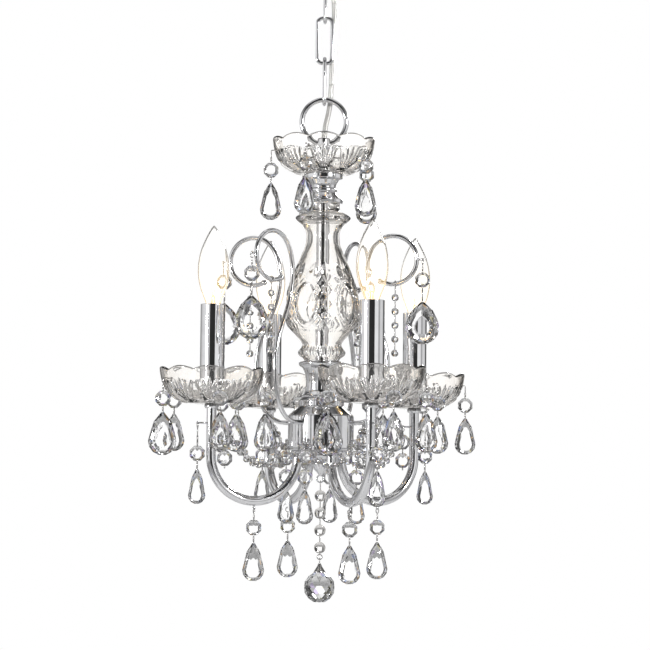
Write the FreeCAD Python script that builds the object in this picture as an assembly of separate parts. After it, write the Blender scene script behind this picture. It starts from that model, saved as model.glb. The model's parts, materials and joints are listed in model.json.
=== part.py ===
import FreeCAD, Part
import math
import os

from FreeCAD import Rotation, Vector

# Mini crystal chandelier with four candle arms, hung on a short chain.
# Millimetres. +Z is up, z = 0 is the ceiling and the origin is the middle of the
# mounting strap's two screw holes. The front of the fixture looks along -Y.

# ---------------------------------------------------------------- driving sizes
SLIP = 0.05                      # radial clearance of a piece slipped over another
CHAIN_GAP = 0.2                  # play between two bars that hang in each other

# ceiling fittings
STRAP_LENGTH = 104.0
STRAP_WIDTH = 16.0
STRAP_THICKNESS = 2.0
STRAP_HOLE_SPACING = 88.9
STRAP_HOLE_RADIUS = 2.4
CANOPY_RADIUS = 63.5
CANOPY_DEPTH = 22.0
CANOPY_WALL = 1.2
NIPPLE_RADIUS = 4.75             # threaded tube used at the ceiling and in the stem
NIPPLE_BORE = 3.25
LOOP_COLLAR_RADIUS = 10.0
LOOP_COLLAR_HEIGHT = 10.0
LOOP_RING_RADIUS = 12.0          # to the middle of the bar
LOOP_BAR_RADIUS = 2.1

# chain
LINK_LENGTH = 48.5
LINK_WIDTH = 18.2
LINK_WIRE_RADIUS = 1.85
LINK_CORNER_RADIUS = 5.0
LINK_COUNT = 3

# lamp cord, from the ceiling nipple down to the stem
CORD_RADIUS = 2.5

# top loop and stem
TOP_RING_RADIUS = 21.8
TOP_RING_BAR = 2.45
STEM_COLLAR_RADIUS = 6.3
STEM_COLLAR_HEIGHT = 9.0
STEM_HEIGHT = 35.0               # from the stem's mouth inside the ring to the spool
WIREWAY_RADIUS = 3.1

# glass dishes
DISH_RADIUS = 50.4
DISH_FLAT_RADIUS = 22.0
DISH_HEIGHT = 34.0
DISH_WALL = 3.0
DISH_LOBES = 10
LOBE_DEPTH = 3.9
LOBE_NOTCH_WIDTH = 18.0
DISH_HOOKS = 5
HOOK_DROP = 10.5                 # hook hole below the crest of the rim
HOOK_HOLE_RADIUS = 1.8

# spool and glass body
SPOOL_HEIGHT = 29.6
SPOOL_FLANGE_RADIUS = 18.8
SPOOL_FLANGE = 5.2
SPOOL_WAIST_RADIUS = 11.8
BODY_WALL = 4.2
BODY_TUBE_RADIUS = 6.3
BODY_TUBE_WALL = 1.2
# outer radius of the glass body at depths below its top rim
BODY_PROFILE = [
    (0.0, 16.3), (7.6, 16.5), (9.3, 21.5), (13.1, 26.9), (16.5, 25.6), (20.3, 20.9),
    (23.7, 18.4), (28.6, 16.5), (33.0, 16.3), (40.2, 17.1), (47.0, 19.6), (54.8, 22.9),
    (60.6, 25.5), (68.0, 28.4), (79.0, 32.5), (89.0, 35.2), (101.3, 36.1), (112.0, 35.7),
    (118.8, 34.6), (123.5, 31.0), (129.5, 25.2), (135.5, 20.2), (139.0, 19.3),
    (142.5, 21.2), (145.6, 23.3), (149.0, 21.8), (151.8, 18.0), (154.7, 16.5),
]

# hub
HUB_COLLAR_HEIGHT = 34.9
HUB_COLLAR_RADIUS = 16.0
HUB_COLLAR_FLANGE_RADIUS = 22.8
HUB_COLLAR_FLANGE = 4.0
HUB_NECK_RADIUS = 22.3
HUB_NECK_HEIGHT = 14.6
HUB_RADIUS = 32.0
HUB_HEIGHT = 35.0                # shell below the neck
HUB_WALL = 1.6
HUB_CAP_THICKNESS = 2.0
FINIAL_RADIUS = 10.0
FINIAL_HEIGHT = 24.0
ROD_TAIL = 12.0                  # rod left standing below the hub's cap
FINIAL_EYE_RADIUS = 3.4
WIRE_RADIUS = 0.75

# candle arms
ARM_ANGLES = [-65.0, 32.0, 119.0, 197.0]
ARM_TUBE_RADIUS = 4.7
ARM_TUBE_WALL = 1.0
ARM_ROOT = 23.3                  # from the stem to an arm's inner leg
ARM_BEND_RADIUS = 43.2
ARM_BEND_LEVEL = 5.8             # the bend's centre below the hub's cap
ARM_LEG = 44.9                   # the outer leg, from the bend up to the arm cup
ARM_TUBE_ABOVE_CUP = 12.0
ARM_TUBE_INSIDE_HUB = 14.0
LEG_EYE_REACH = 8.8              # from the outer leg's face to its crystal's eye
CUP_RADIUS = 7.15
CUP_HEIGHT = 4.5
SOCKET_RADIUS = 9.5
SOCKET_BORE = 6.6
SOCKET_RISER_RADIUS = 6.6
SOCKET_RISER_HEIGHT = 58.0       # from the dish's floor to the socket's cup
SOCKET_BASE = 6.0                # thickness of the cup's bottom
SLEEVE_RADIUS = 11.9
SLEEVE_WALL = 0.9
SLEEVE_HEIGHT = 92.6

# bulbs
BULB_RADIUS = 15.2
BULB_HEIGHT = 76.0               # glass above the sleeve's mouth
BULB_NECK_RADIUS = 6.4
BULB_WALL = 0.8
BULB_BASE_RADIUS = 6.0
BULB_BASE_HEIGHT = 16.0
BULB_NECK_DEPTH = 8.0            # glass neck inside the sleeve

# scroll arms
SCROLL_ANGLES = [-132.0, -13.0, 61.0, 167.0]
SCROLL_BAR_RADIUS = 2.2
SCROLL_CURL_RADIUS = 23.5
SCROLL_CURL_CENTRE = 70.0        # from the stem
SCROLL_CURL_HEIGHT = 148.4       # above the hub shell's shoulder
SCROLL_CURL_TAIL = 28.0          # degrees past the bottom of the curl
SCROLL_BELLY = 65.8              # widest point of the lower bow, from the stem
SCROLL_BELLY_RISE = 54.0         # above the bar's root in the hub
SCROLL_WAIST = 42.8              # narrowest point below the curl, from the stem
SCROLL_WAIST_DROP = 16.0         # below the curl's centre

# crystals
BEAD_ACROSS = 14.4
BEAD_THICKNESS = 6.4
DROP_WIDTH = 21.0
DROP_LENGTH = 36.5
DROP_THICKNESS = 9.0
LARGE_DROP_WIDTH = 27.0
LARGE_DROP_LENGTH = 41.0
PEAR_WIDTH = 33.0
PEAR_LENGTH = 41.5
PEAR_THICKNESS = 12.0
PEAR_HANG = 12.6                 # from the scroll's eye to the octagon's top edge
PEAR_GAP = 14.0                  # from the octagon to the pear
DISH_DROP_HANG = 12.6
DISH_DROP_GAP = 5.6
ARM_DROP_HANG = 11.5
ARM_DROP_GAP = 7.5
LEG_DROP_WIDTH = 16.5
LEG_DROP_LENGTH = 33.0
LEG_DROP_THICKNESS = 8.0
LEG_DROP_HANG = 22.0
LEG_DROP_GAP = 8.0
CHAIN_HANG = 8.0                 # octagons on the inside of an outer leg
CHAIN_BEADS = 2
CHAIN_GAP_LENGTH = 4.0
HUB_STRING_ANGLES = [-16.5, 75.5, 158.0, -114.0]
HUB_STRING_RISE = 8.0            # of its eye above the hub's cap
HUB_STRING_HANG = 10.0
HUB_STRING_BEADS = 2
HUB_DROP_GAP = 5.0
HOOK_REACH = 3.4                 # from the dish wall to the hanging pin
HOOK_BEND = 1.5
HOOK_TAIL = 4.2                  # from the hole inwards to the wire's head
HOOK_HEAD_RADIUS = 1.1
PIN_RADIUS = 0.5
LINK_EYE_RADIUS = 2.4            # wire eye at the top of a free drop
LUG_HOLE_RADIUS = 0.75
LUG_RADIUS = 1.6
LUG_THICKNESS = 1.0
LUG_REACH = 4.6                  # from a lug's root to the middle of its hole
LUG_PEG_RADIUS = 0.9
STRING_BEAD_RADIUS = 5.6
STRING_BEAD_COUNT = 4
STRING_PITCH = 16.7
STRING_TOP_WIRE = 4.0            # from the string's first ring to its first bead
BALL_RADIUS = 15.2
BALL_CAP_HEIGHT = 9.0
STRAND_BEADS = 5
STRAND_BEAD_RADIUS = 3.6
STRAND_PITCH = 13.5
STRAND_OFFSET = 2.5              # of a strand's ring from the curl's lowest point

# ---------------------------------------------------------------- worked-out levels
CANOPY_BOTTOM = -CANOPY_DEPTH
LOOP_RING_Z = CANOPY_BOTTOM - LOOP_COLLAR_HEIGHT - LOOP_RING_RADIUS + LOOP_BAR_RADIUS
LINK_INNER_LENGTH = LINK_LENGTH - 4 * LINK_WIRE_RADIUS
LINK_PITCH = LINK_INNER_LENGTH - CHAIN_GAP
LINK_HALF = LINK_LENGTH / 2 - LINK_WIRE_RADIUS
LOOP_PIVOT_Z = LOOP_RING_Z - LOOP_RING_RADIUS
FIRST_LINK_Z = LOOP_PIVOT_Z + LOOP_BAR_RADIUS + CHAIN_GAP + LINK_WIRE_RADIUS - LINK_HALF
LAST_LINK_Z = FIRST_LINK_Z - (LINK_COUNT - 1) * LINK_PITCH
LAST_PIVOT_Z = LAST_LINK_Z - LINK_HALF
TOP_RING_Z = LAST_PIVOT_Z + LINK_WIRE_RADIUS + CHAIN_GAP + TOP_RING_BAR - TOP_RING_RADIUS
STEM_TOP = TOP_RING_Z - TOP_RING_RADIUS + 2 * TOP_RING_BAR
SPOOL_TOP = STEM_TOP - STEM_HEIGHT
BODY_TOP = SPOOL_TOP - SPOOL_HEIGHT
BODY_HEIGHT = BODY_PROFILE[-1][0]
HUB_COLLAR_TOP = BODY_TOP - BODY_HEIGHT
HUB_NECK_TOP = HUB_COLLAR_TOP - HUB_COLLAR_HEIGHT
HUB_SHELL_TOP = HUB_NECK_TOP - HUB_NECK_HEIGHT
HUB_CAP_TOP = HUB_SHELL_TOP - HUB_HEIGHT
HUB_CAP_BOTTOM = HUB_CAP_TOP - HUB_CAP_THICKNESS
FINIAL_BOTTOM = HUB_CAP_BOTTOM - FINIAL_HEIGHT
FINIAL_EYE_Z = FINIAL_BOTTOM - FINIAL_EYE_RADIUS
ARM_BEND_Z = HUB_CAP_BOTTOM - ARM_BEND_LEVEL
ARM_REACH = ARM_ROOT + 2 * ARM_BEND_RADIUS
CUP_BOTTOM = ARM_BEND_Z + ARM_LEG
CUP_TOP = CUP_BOTTOM + CUP_HEIGHT
DISH_FLOOR = CUP_TOP + DISH_WALL
SLEEVE_TOP = DISH_FLOOR + SLEEVE_HEIGHT
UPPER_DISH_FLOOR = SPOOL_TOP + DISH_WALL
CURL_Z = HUB_SHELL_TOP + SCROLL_CURL_HEIGHT
ARM_BOTTOM = ARM_BEND_Z - ARM_BEND_RADIUS - ARM_TUBE_RADIUS
ROD_BOTTOM = HUB_CAP_BOTTOM - ROD_TAIL

# Where each dish carries its five crystal strings: the first hook's angle, which of
# the five drops is a large one (None for none), in the order of the arms.
DISH_HOOK_START = [-140.0, 6.0, -53.0, -150.0]
DISH_LARGE_DROP = [0, None, None, 0]
UPPER_HOOK_START = 178.0

# The lamp cord: out of the ceiling nipple, down behind the chain, in at the stem.
CORD_POINTS = [
    (0.0, 0.0, -14.0), (0.0, 0.0, -36.5), (6.4, 6.9, -51.0), (9.2, 7.4, -76.0),
    (8.9, 6.7, -102.0), (7.3, 7.1, -128.0), (6.7, 6.3, -154.0), (5.7, 6.6, -179.0),
    (0.0, 0.0, -202.0), (0.0, 0.0, -220.0),
]


# ---------------------------------------------------------------- small helpers
def polar(radius, angle, z=0.0):
    turn = math.radians(angle)
    return Vector(radius * math.cos(turn), radius * math.sin(turn), z)


def turned(shape, angle):
    """A copy of the shape turned about the stem's axis."""
    copy = shape.copy()
    copy.rotate(Vector(0, 0, 0), Vector(0, 0, 1), angle)
    return copy


def moved(shape, offset):
    copy = shape.copy()
    copy.translate(offset)
    return copy


def revolve(profile):
    """Solid of revolution about Z from a closed outline of (radius, z) points."""
    points = [Vector(radius, 0, z) for radius, z in profile]
    points.append(points[0])
    face = Part.Face(Part.makePolygon(points))
    return face.revolve(Vector(0, 0, 0), Vector(0, 0, 1), 360)


def ring(outer, inner, low, high):
    return revolve([(inner, low), (outer, low), (outer, high), (inner, high)])


def rod(radius, start, end):
    axis = end - start
    return Part.makeCylinder(radius, axis.Length, start, axis)


def arc_through(start, direction, end):
    """Arc that leaves start along direction and reaches end, with its end direction."""
    chord = end - start
    direction = Vector(direction).normalize()
    side = chord - direction * chord.dot(direction)
    if side.Length < 1e-6:
        return Part.LineSegment(start, end).toShape(), direction
    side.normalize()
    radius = chord.Length ** 2 / (2 * chord.dot(side))
    centre = start + side * radius
    middle = (start + end) * 0.5 - centre
    reach = middle.normalize() * radius
    if chord.dot(direction) < 0:
        reach = reach * -1
    arc = Part.Arc(start, centre + reach, end).toShape()
    spoke = end - centre
    forward = direction.cross(side).cross(spoke).normalize()
    return arc, forward


def two_arcs(start, leaving, end, arriving):
    """Two tangent arcs from start to end with the directions given at both ends."""
    chord = end - start
    both = leaving + arriving
    spread = 2 * (1 - leaving.dot(arriving))
    along = chord.dot(both)
    if spread < 1e-9:
        reach = chord.dot(chord) / (4 * chord.dot(arriving))
    else:
        reach = (math.sqrt(along ** 2 + spread * chord.dot(chord)) - along) / spread
    joint = (start + end + (leaving - arriving) * reach) * 0.5
    first, direction = arc_through(start, leaving, joint)
    second, _ = arc_through(joint, direction, end)
    return [first, second]


def pipe(edges, radius):
    path = Part.Wire(edges)
    start = edges[0].valueAt(edges[0].FirstParameter)
    direction = edges[0].tangentAt(edges[0].FirstParameter)
    circle = Part.Wire(Part.makeCircle(radius, start, direction))
    return path.makePipe(Part.Face(circle))


def layered_solid(layers):
    """Closed solid through rings of points; neighbouring rings have flat sides."""
    faces = []
    for lower, upper in zip(layers, layers[1:]):
        count = len(lower)
        for index in range(count):
            after = (index + 1) % count
            corners = [lower[index], lower[after], upper[after], upper[index]]
            faces.append(Part.Face(Part.makePolygon(corners + corners[:1])))
    for cap in (layers[0], layers[-1]):
        faces.append(Part.Face(Part.makePolygon(cap + cap[:1])))
    solid = Part.makeSolid(Part.makeShell(faces))
    if solid.Volume < 0:
        solid.reverse()
    return solid


def cut_crystal(outline, centre, thickness):
    """Faceted crystal: its outline shrinks towards a flat table on both faces."""
    girdle = thickness * 0.1
    steps = [(0.45, -0.5), (0.8, -0.32), (1.0, -girdle / thickness)]
    steps += [(1.0, girdle / thickness), (0.8, 0.32), (0.45, 0.5)]
    layers = []
    for scale, depth in steps:
        layer = []
        for x, z in outline:
            point_x = centre[0] + (x - centre[0]) * scale
            point_z = centre[1] + (z - centre[1]) * scale
            layer.append(Vector(point_x, depth * thickness, point_z))
        layers.append(layer)
    return layered_solid(layers)


def octagon_bead(top):
    """Flat octagonal bead hung with its top edge at the given height."""
    middle = top - BEAD_ACROSS / 2
    reach = BEAD_ACROSS / 2 / math.cos(math.pi / 8)
    outline = []
    for step in range(8):
        turn = math.pi / 8 + step * math.pi / 4
        outline.append((reach * math.cos(turn), middle + reach * math.sin(turn)))
    return cut_crystal(outline, (0.0, middle), BEAD_THICKNESS)


def almond_drop(top, width, length, thickness):
    """Teardrop crystal with a narrow flat top and a round bottom."""
    belly = width / 2
    centre_z = top - length + belly
    outline = [(1.2, top)]
    for turn in (20.0, -8.0, -36.0, -64.0):
        bend = math.radians(turn)
        outline.append((belly * math.cos(bend), centre_z + belly * math.sin(bend)))
    mirrored = [(-x, z) for x, z in reversed(outline)]
    return cut_crystal(outline + mirrored, (0.0, centre_z), thickness)


def crystal_string(hang, drop_gap, width, length, thickness):
    """Octagon, pin and teardrop that hang this far below the string's anchor."""
    top = -hang
    bead = octagon_bead(top)
    bead_bottom = top - BEAD_ACROSS
    drop_top = bead_bottom - drop_gap
    pin = rod(PIN_RADIUS, Vector(0, 0, bead_bottom), Vector(0, 0, drop_top))
    drop = almond_drop(drop_top, width, length, thickness)
    return [bead, pin, drop]


def hook_wire(reach, hang):
    """Headed wire through a dish's wall, bent down to its hanging end."""
    bend = HOOK_BEND
    start = Vector(-HOOK_TAIL, 0, 0)
    turn = Vector(reach - bend, 0, 0)
    low = Vector(reach, 0, -bend)
    middle = Vector(reach - bend + bend * math.sin(math.pi / 4), 0,
                    -bend + bend * math.cos(math.pi / 4))
    edges = [Part.LineSegment(start, turn).toShape(),
             Part.Arc(turn, middle, low).toShape(),
             Part.LineSegment(low, Vector(reach, 0, -hang)).toShape()]
    wire = pipe(edges, PIN_RADIUS)
    return wire.fuse(Part.makeSphere(HOOK_HEAD_RADIUS, start))


def dish_string(hole, angle, large):
    """One complete crystal string hooked through a hole in a dish."""
    width = LARGE_DROP_WIDTH if large else DROP_WIDTH
    length = LARGE_DROP_LENGTH if large else DROP_LENGTH
    hook = moved(turned(hook_wire(HOOK_REACH, DISH_DROP_HANG), angle), hole)
    anchor = hole + polar(HOOK_REACH, angle)
    pieces = crystal_string(DISH_DROP_HANG, DISH_DROP_GAP, width, length, DROP_THICKNESS)
    return [hook] + [moved(piece, anchor) for piece in pieces]


def lug(reach):
    """Peg along +X that ends in a small eye, whose hole runs along Y."""
    peg = rod(LUG_PEG_RADIUS, Vector(0, 0, 0), Vector(reach - 1.0, 0, 0))
    half = Vector(0, LUG_THICKNESS / 2, 0)
    eye = rod(LUG_RADIUS, Vector(reach, 0, 0) - half, Vector(reach, 0, 0) + half)
    hole = rod(LUG_HOLE_RADIUS, Vector(reach, -2, 0), Vector(reach, 2, 0))
    return peg.fuse(eye).cut(hole)


def wire_eye(hang):
    """Wire ring through a lug's hole, with a straight tail down to hang."""
    circle = Part.makeTorus(LINK_EYE_RADIUS, PIN_RADIUS, Vector(0, 0, -LINK_EYE_RADIUS),
                            Vector(1, 0, 0))
    start = Vector(0, 0, -2 * LINK_EYE_RADIUS)
    return circle.fuse(rod(PIN_RADIUS, start, Vector(0, 0, -hang)))


def free_string(anchor, angle, hang, drop_gap, width, length, thickness):
    """Crystal string on a wire eye that hangs in a lug."""
    eye = moved(turned(wire_eye(hang), angle), anchor)
    pieces = crystal_string(hang, drop_gap, width, length, thickness)
    return [eye] + [moved(piece, anchor) for piece in pieces]


def bead_chain(anchor, angle, hang, count):
    """Octagons one under another on a wire eye that hangs in a lug."""
    pieces = [moved(turned(wire_eye(hang), angle), anchor)]
    for step in range(count):
        top = -hang - step * (BEAD_ACROSS + CHAIN_GAP_LENGTH)
        pieces.append(moved(octagon_bead(top), anchor))
        if step:
            pin = rod(PIN_RADIUS, Vector(0, 0, top), Vector(0, 0, top + CHAIN_GAP_LENGTH))
            pieces.append(moved(pin, anchor))
    return pieces


# ---------------------------------------------------------------- ceiling and chain
def mounting_strap():
    corner = Vector(-STRAP_LENGTH / 2, -STRAP_WIDTH / 2, -STRAP_THICKNESS)
    strap = Part.makeBox(STRAP_LENGTH, STRAP_WIDTH, STRAP_THICKNESS, corner)
    low = -STRAP_THICKNESS - 1
    strap = strap.cut(rod(NIPPLE_RADIUS + SLIP, Vector(0, 0, low), Vector(0, 0, 1)))
    for side in (-1, 1):
        x = side * STRAP_HOLE_SPACING / 2
        strap = strap.cut(rod(STRAP_HOLE_RADIUS, Vector(x, 0, low), Vector(x, 0, 1)))
    return strap


def canopy():
    """Spun cup whose rim bears on the ceiling."""
    wall = CANOPY_WALL
    rim = CANOPY_RADIUS
    depth = CANOPY_DEPTH
    outer = [(rim, 0.0), (rim, -3.0), (rim - 5.0, -6.5), (rim - 16.0, -14.5),
             (rim - 33.0, -depth + 2.0), (rim - 41.0, -depth)]
    inner = [(radius - wall * 0.7, z + wall * 0.75) for radius, z in outer[2:]]
    inner[-1] = (NIPPLE_RADIUS + SLIP, -depth + wall)
    inner.insert(len(inner) - 1, (rim - 41.0, -depth + wall))
    profile = outer + [(NIPPLE_RADIUS + SLIP, -depth)] + list(reversed(inner))
    profile += [(rim - wall, -3.4), (rim - wall, 0.0)]
    return revolve(profile)


def canopy_nipple():
    """Threaded tube that joins the strap, the canopy and the loop."""
    low = CANOPY_BOTTOM - LOOP_COLLAR_HEIGHT * 0.6
    return ring(NIPPLE_RADIUS, NIPPLE_BORE, low, -0.2)


def canopy_loop():
    collar_bottom = CANOPY_BOTTOM - LOOP_COLLAR_HEIGHT
    collar = revolve([(0, collar_bottom), (LOOP_COLLAR_RADIUS - 2.5, collar_bottom),
                      (LOOP_COLLAR_RADIUS, collar_bottom + 3.0),
                      (LOOP_COLLAR_RADIUS, CANOPY_BOTTOM), (0, CANOPY_BOTTOM)])
    hoop = Part.makeTorus(LOOP_RING_RADIUS, LOOP_BAR_RADIUS, Vector(0, 0, LOOP_RING_Z),
                          Vector(0, 1, 0))
    seat = CANOPY_BOTTOM - LOOP_COLLAR_HEIGHT * 0.6
    socket = rod(NIPPLE_RADIUS + SLIP, Vector(0, 0, seat), Vector(0, 0, CANOPY_BOTTOM + 1))
    way = rod(WIREWAY_RADIUS, Vector(0, 0, LOOP_RING_Z), Vector(0, 0, seat + 1))
    return collar.fuse(hoop).cut(socket).cut(way)


def chain_link(index):
    """Long link; the odd ones from the ceiling stand edge-on to the front."""
    corner = LINK_CORNER_RADIUS
    half_width = LINK_WIDTH / 2 - LINK_WIRE_RADIUS
    half_length = LINK_HALF
    straight_x = half_width - corner
    straight_z = half_length - corner
    diagonal = corner * math.sqrt(0.5)
    corners = [(1, 1), (-1, 1), (-1, -1), (1, -1)]
    edges = []
    last = Vector(half_width, 0, straight_z)
    for number, (side_x, side_z) in enumerate(corners):
        centre = Vector(side_x * straight_x, 0, side_z * straight_z)
        on_side = Vector(side_x * half_width, 0, side_z * straight_z)
        on_end = Vector(side_x * straight_x, 0, side_z * half_length)
        bend = centre + Vector(side_x * diagonal, 0, side_z * diagonal)
        first, second = (on_side, on_end) if number % 2 == 0 else (on_end, on_side)
        if number:
            edges.append(Part.LineSegment(last, first).toShape())
        edges.append(Part.Arc(first, bend, second).toShape())
        last = second
    edges.append(Part.LineSegment(last, Vector(half_width, 0, straight_z)).toShape())
    link = pipe(edges, LINK_WIRE_RADIUS)
    angle = 90.0 if index % 2 == 0 else 0.0
    return moved(turned(link, angle), Vector(0, 0, FIRST_LINK_Z - index * LINK_PITCH))


def supply_cord():
    """Straight runs joined by tangent arcs, each as large as its runs allow."""
    points = [Vector(*point) for point in CORD_POINTS]
    runs = [(after - before).Length for before, after in zip(points, points[1:])]
    edges = []
    start = points[0]
    for index in range(1, len(points) - 1):
        into = (points[index] - points[index - 1]).normalize()
        out = (points[index + 1] - points[index]).normalize()
        trim = 0.45 * min(runs[index - 1], runs[index])
        turn = into.getAngle(out)
        print("cord arc radius %.1f mm" % (trim / math.tan(turn / 2)))
        first = points[index] - into * trim
        second = points[index] + out * trim
        inward = (out - into).normalize()
        radius = trim / math.tan(turn / 2)
        middle = points[index] + inward * (radius / math.cos(turn / 2) - radius)
        edges.append(Part.LineSegment(start, first).toShape())
        edges.append(Part.Arc(first, middle, second).toShape())
        start = second
    edges.append(Part.LineSegment(start, points[-1]).toShape())
    cord = pipe(edges, CORD_RADIUS)
    length = sum(edge.Length for edge in edges)
    section = math.pi * CORD_RADIUS ** 2
    print("cord length %.1f mm, volume ratio %.4f" % (length, cord.Volume / section / length))
    return cord


# ---------------------------------------------------------------- stem of the fixture
def top_loop():
    hoop = Part.makeTorus(TOP_RING_RADIUS, TOP_RING_BAR, Vector(0, 0, TOP_RING_Z),
                          Vector(0, 1, 0))
    low = STEM_TOP - STEM_COLLAR_HEIGHT
    collar = rod(STEM_COLLAR_RADIUS, Vector(0, 0, low), Vector(0, 0, STEM_TOP))
    socket = rod(NIPPLE_RADIUS + SLIP, Vector(0, 0, low - 1), Vector(0, 0, low + 5.0))
    way = rod(WIREWAY_RADIUS, Vector(0, 0, low), Vector(0, 0, STEM_TOP + 3))
    return hoop.fuse(collar).cut(socket).cut(way)


def stem_coupling():
    """Turned piece between the loop's collar and the upper dish's floor."""
    high = STEM_TOP - STEM_COLLAR_HEIGHT
    low = UPPER_DISH_FLOOR
    radius = STEM_COLLAR_RADIUS
    bore = NIPPLE_RADIUS + SLIP
    return revolve([(bore, low), (radius + 4.5, low), (radius + 4.5, low + 2.0),
                    (radius + 0.8, low + 5.0), (radius, low + 9.0), (radius, high),
                    (bore, high)])


def centre_rod():
    """Threaded tube that clamps the whole stem from loop to finial."""
    high = STEM_TOP - STEM_COLLAR_HEIGHT + 5.0
    return ring(NIPPLE_RADIUS, NIPPLE_BORE, ROD_BOTTOM, high)


def dish(floor_z, bore, hook_angles):
    """Scalloped glass dish whose flat bottom has its upper face at floor_z."""
    base = floor_z - DISH_WALL
    wall = DISH_WALL
    height = DISH_HEIGHT
    outer_mid = (DISH_RADIUS - 8.0, height * 0.27)
    inner_mid = (DISH_RADIUS - 8.0 - wall * 0.85, height * 0.27 + wall * 0.6)
    outer = Part.Arc(Vector(DISH_FLAT_RADIUS, 0, base),
                     Vector(outer_mid[0], 0, base + outer_mid[1]),
                     Vector(DISH_RADIUS, 0, base + height)).toShape()
    inner = Part.Arc(Vector(DISH_RADIUS - wall, 0, base + height),
                     Vector(inner_mid[0], 0, base + inner_mid[1]),
                     Vector(DISH_FLAT_RADIUS - 1.0, 0, floor_z)).toShape()
    corners = [Vector(DISH_RADIUS, 0, base + height),
               Vector(DISH_RADIUS - wall, 0, base + height)]
    floor_corners = [Vector(DISH_FLAT_RADIUS - 1.0, 0, floor_z), Vector(bore, 0, floor_z),
                     Vector(bore, 0, base), Vector(DISH_FLAT_RADIUS, 0, base)]
    edges = [outer, Part.LineSegment(*corners).toShape(), inner]
    edges += [Part.LineSegment(a, b).toShape() for a, b in zip(floor_corners, floor_corners[1:])]
    bowl = Part.Face(Part.Wire(edges)).revolve(Vector(0, 0, 0), Vector(0, 0, 1), 360)
    crest = base + height
    valley = Part.Face(Part.makePolygon([
        Vector(-DISH_RADIUS - 2, 0, crest - LOBE_DEPTH),
        Vector(-DISH_RADIUS - 2, LOBE_NOTCH_WIDTH / 2, crest + 0.5),
        Vector(-DISH_RADIUS - 2, -LOBE_NOTCH_WIDTH / 2, crest + 0.5),
        Vector(-DISH_RADIUS - 2, 0, crest - LOBE_DEPTH)]))
    valley = valley.extrude(Vector(2 * DISH_RADIUS + 4, 0, 0))
    for step in range(DISH_LOBES // 2):
        bowl = bowl.cut(turned(valley, step * 360.0 / DISH_LOBES))
    for angle in hook_angles:
        hole_z = crest - HOOK_DROP
        start = polar(hook_radius() - 6.0, angle, hole_z)
        bowl = bowl.cut(rod(HOOK_HOLE_RADIUS, start, polar(DISH_RADIUS + 4.0, angle, hole_z)))
    return bowl


def hook_radius():
    """Middle of the dish's wall at the level of the hook holes."""
    return DISH_RADIUS - DISH_WALL / 2 - 0.6


def hook_angles(start):
    return [start + step * 360.0 / DISH_HOOKS for step in range(DISH_HOOKS)]


def upper_dish():
    return dish(UPPER_DISH_FLOOR, NIPPLE_RADIUS + SLIP, hook_angles(UPPER_HOOK_START))


def spool_neck():
    """Turned chrome spool between the upper dish and the glass body."""
    high = SPOOL_TOP
    low = BODY_TOP
    bore = NIPPLE_RADIUS + SLIP
    flange = SPOOL_FLANGE_RADIUS
    waist = SPOOL_WAIST_RADIUS
    middle = low + SPOOL_HEIGHT * 0.45
    return revolve([
        (bore, high), (flange, high), (flange, high - SPOOL_FLANGE),
        (flange - 3.5, high - SPOOL_FLANGE - 0.8), (waist + 0.6, high - SPOOL_FLANGE - 5.5),
        (waist, middle + 2.0), (waist + 1.6, middle + 1.2), (waist + 1.6, middle - 1.2),
        (waist + 0.4, middle - 2.2), (waist + 3.4, low + SPOOL_FLANGE + 1.6),
        (flange - 2.0, low + SPOOL_FLANGE), (flange + 0.8, low + SPOOL_FLANGE - 1.4),
        (flange, low), (bore, low)])


def glass_body():
    """Hollow blown-glass baluster that stands on the hub's collar."""
    outer = [Vector(radius, 0, BODY_TOP - depth) for depth, radius in BODY_PROFILE]
    bore = BODY_TUBE_RADIUS + 1.0
    inner = []
    for depth, radius in BODY_PROFILE:
        inner.append(Vector(max(radius - BODY_WALL, bore), 0, BODY_TOP - depth))
    edges = []
    curve = Part.BSplineCurve()
    curve.interpolate(outer)
    edges.append(curve.toShape())
    lining = Part.BSplineCurve()
    lining.interpolate(inner)
    edges.append(Part.LineSegment(outer[-1], inner[-1]).toShape())
    edges.append(lining.toShape())
    edges.append(Part.LineSegment(inner[0], outer[0]).toShape())
    face = Part.Face(Part.Wire(Part.__sortEdges__(edges)))
    return face.revolve(Vector(0, 0, 0), Vector(0, 0, 1), 360)


def centre_tube():
    """Chrome cover tube over the rod, seen through the glass body."""
    inner = BODY_TUBE_RADIUS - BODY_TUBE_WALL
    return ring(BODY_TUBE_RADIUS, inner, HUB_COLLAR_TOP, BODY_TOP)


def hub_collar():
    low = HUB_NECK_TOP
    high = HUB_COLLAR_TOP
    bore = NIPPLE_RADIUS + SLIP
    radius = HUB_COLLAR_RADIUS
    flange = HUB_COLLAR_FLANGE_RADIUS
    return revolve([
        (bore, high), (flange - 1.5, high), (flange, high - 1.5),
        (flange - 1.0, high - HUB_COLLAR_FLANGE), (radius + 2.2, high - HUB_COLLAR_FLANGE - 2.5),
        (radius, high - 12.0), (radius - 0.8, high - 20.0), (radius, low + 6.0),
        (radius + 3.0, low + 2.0), (radius + 3.5, low), (bore, low)])


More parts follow.
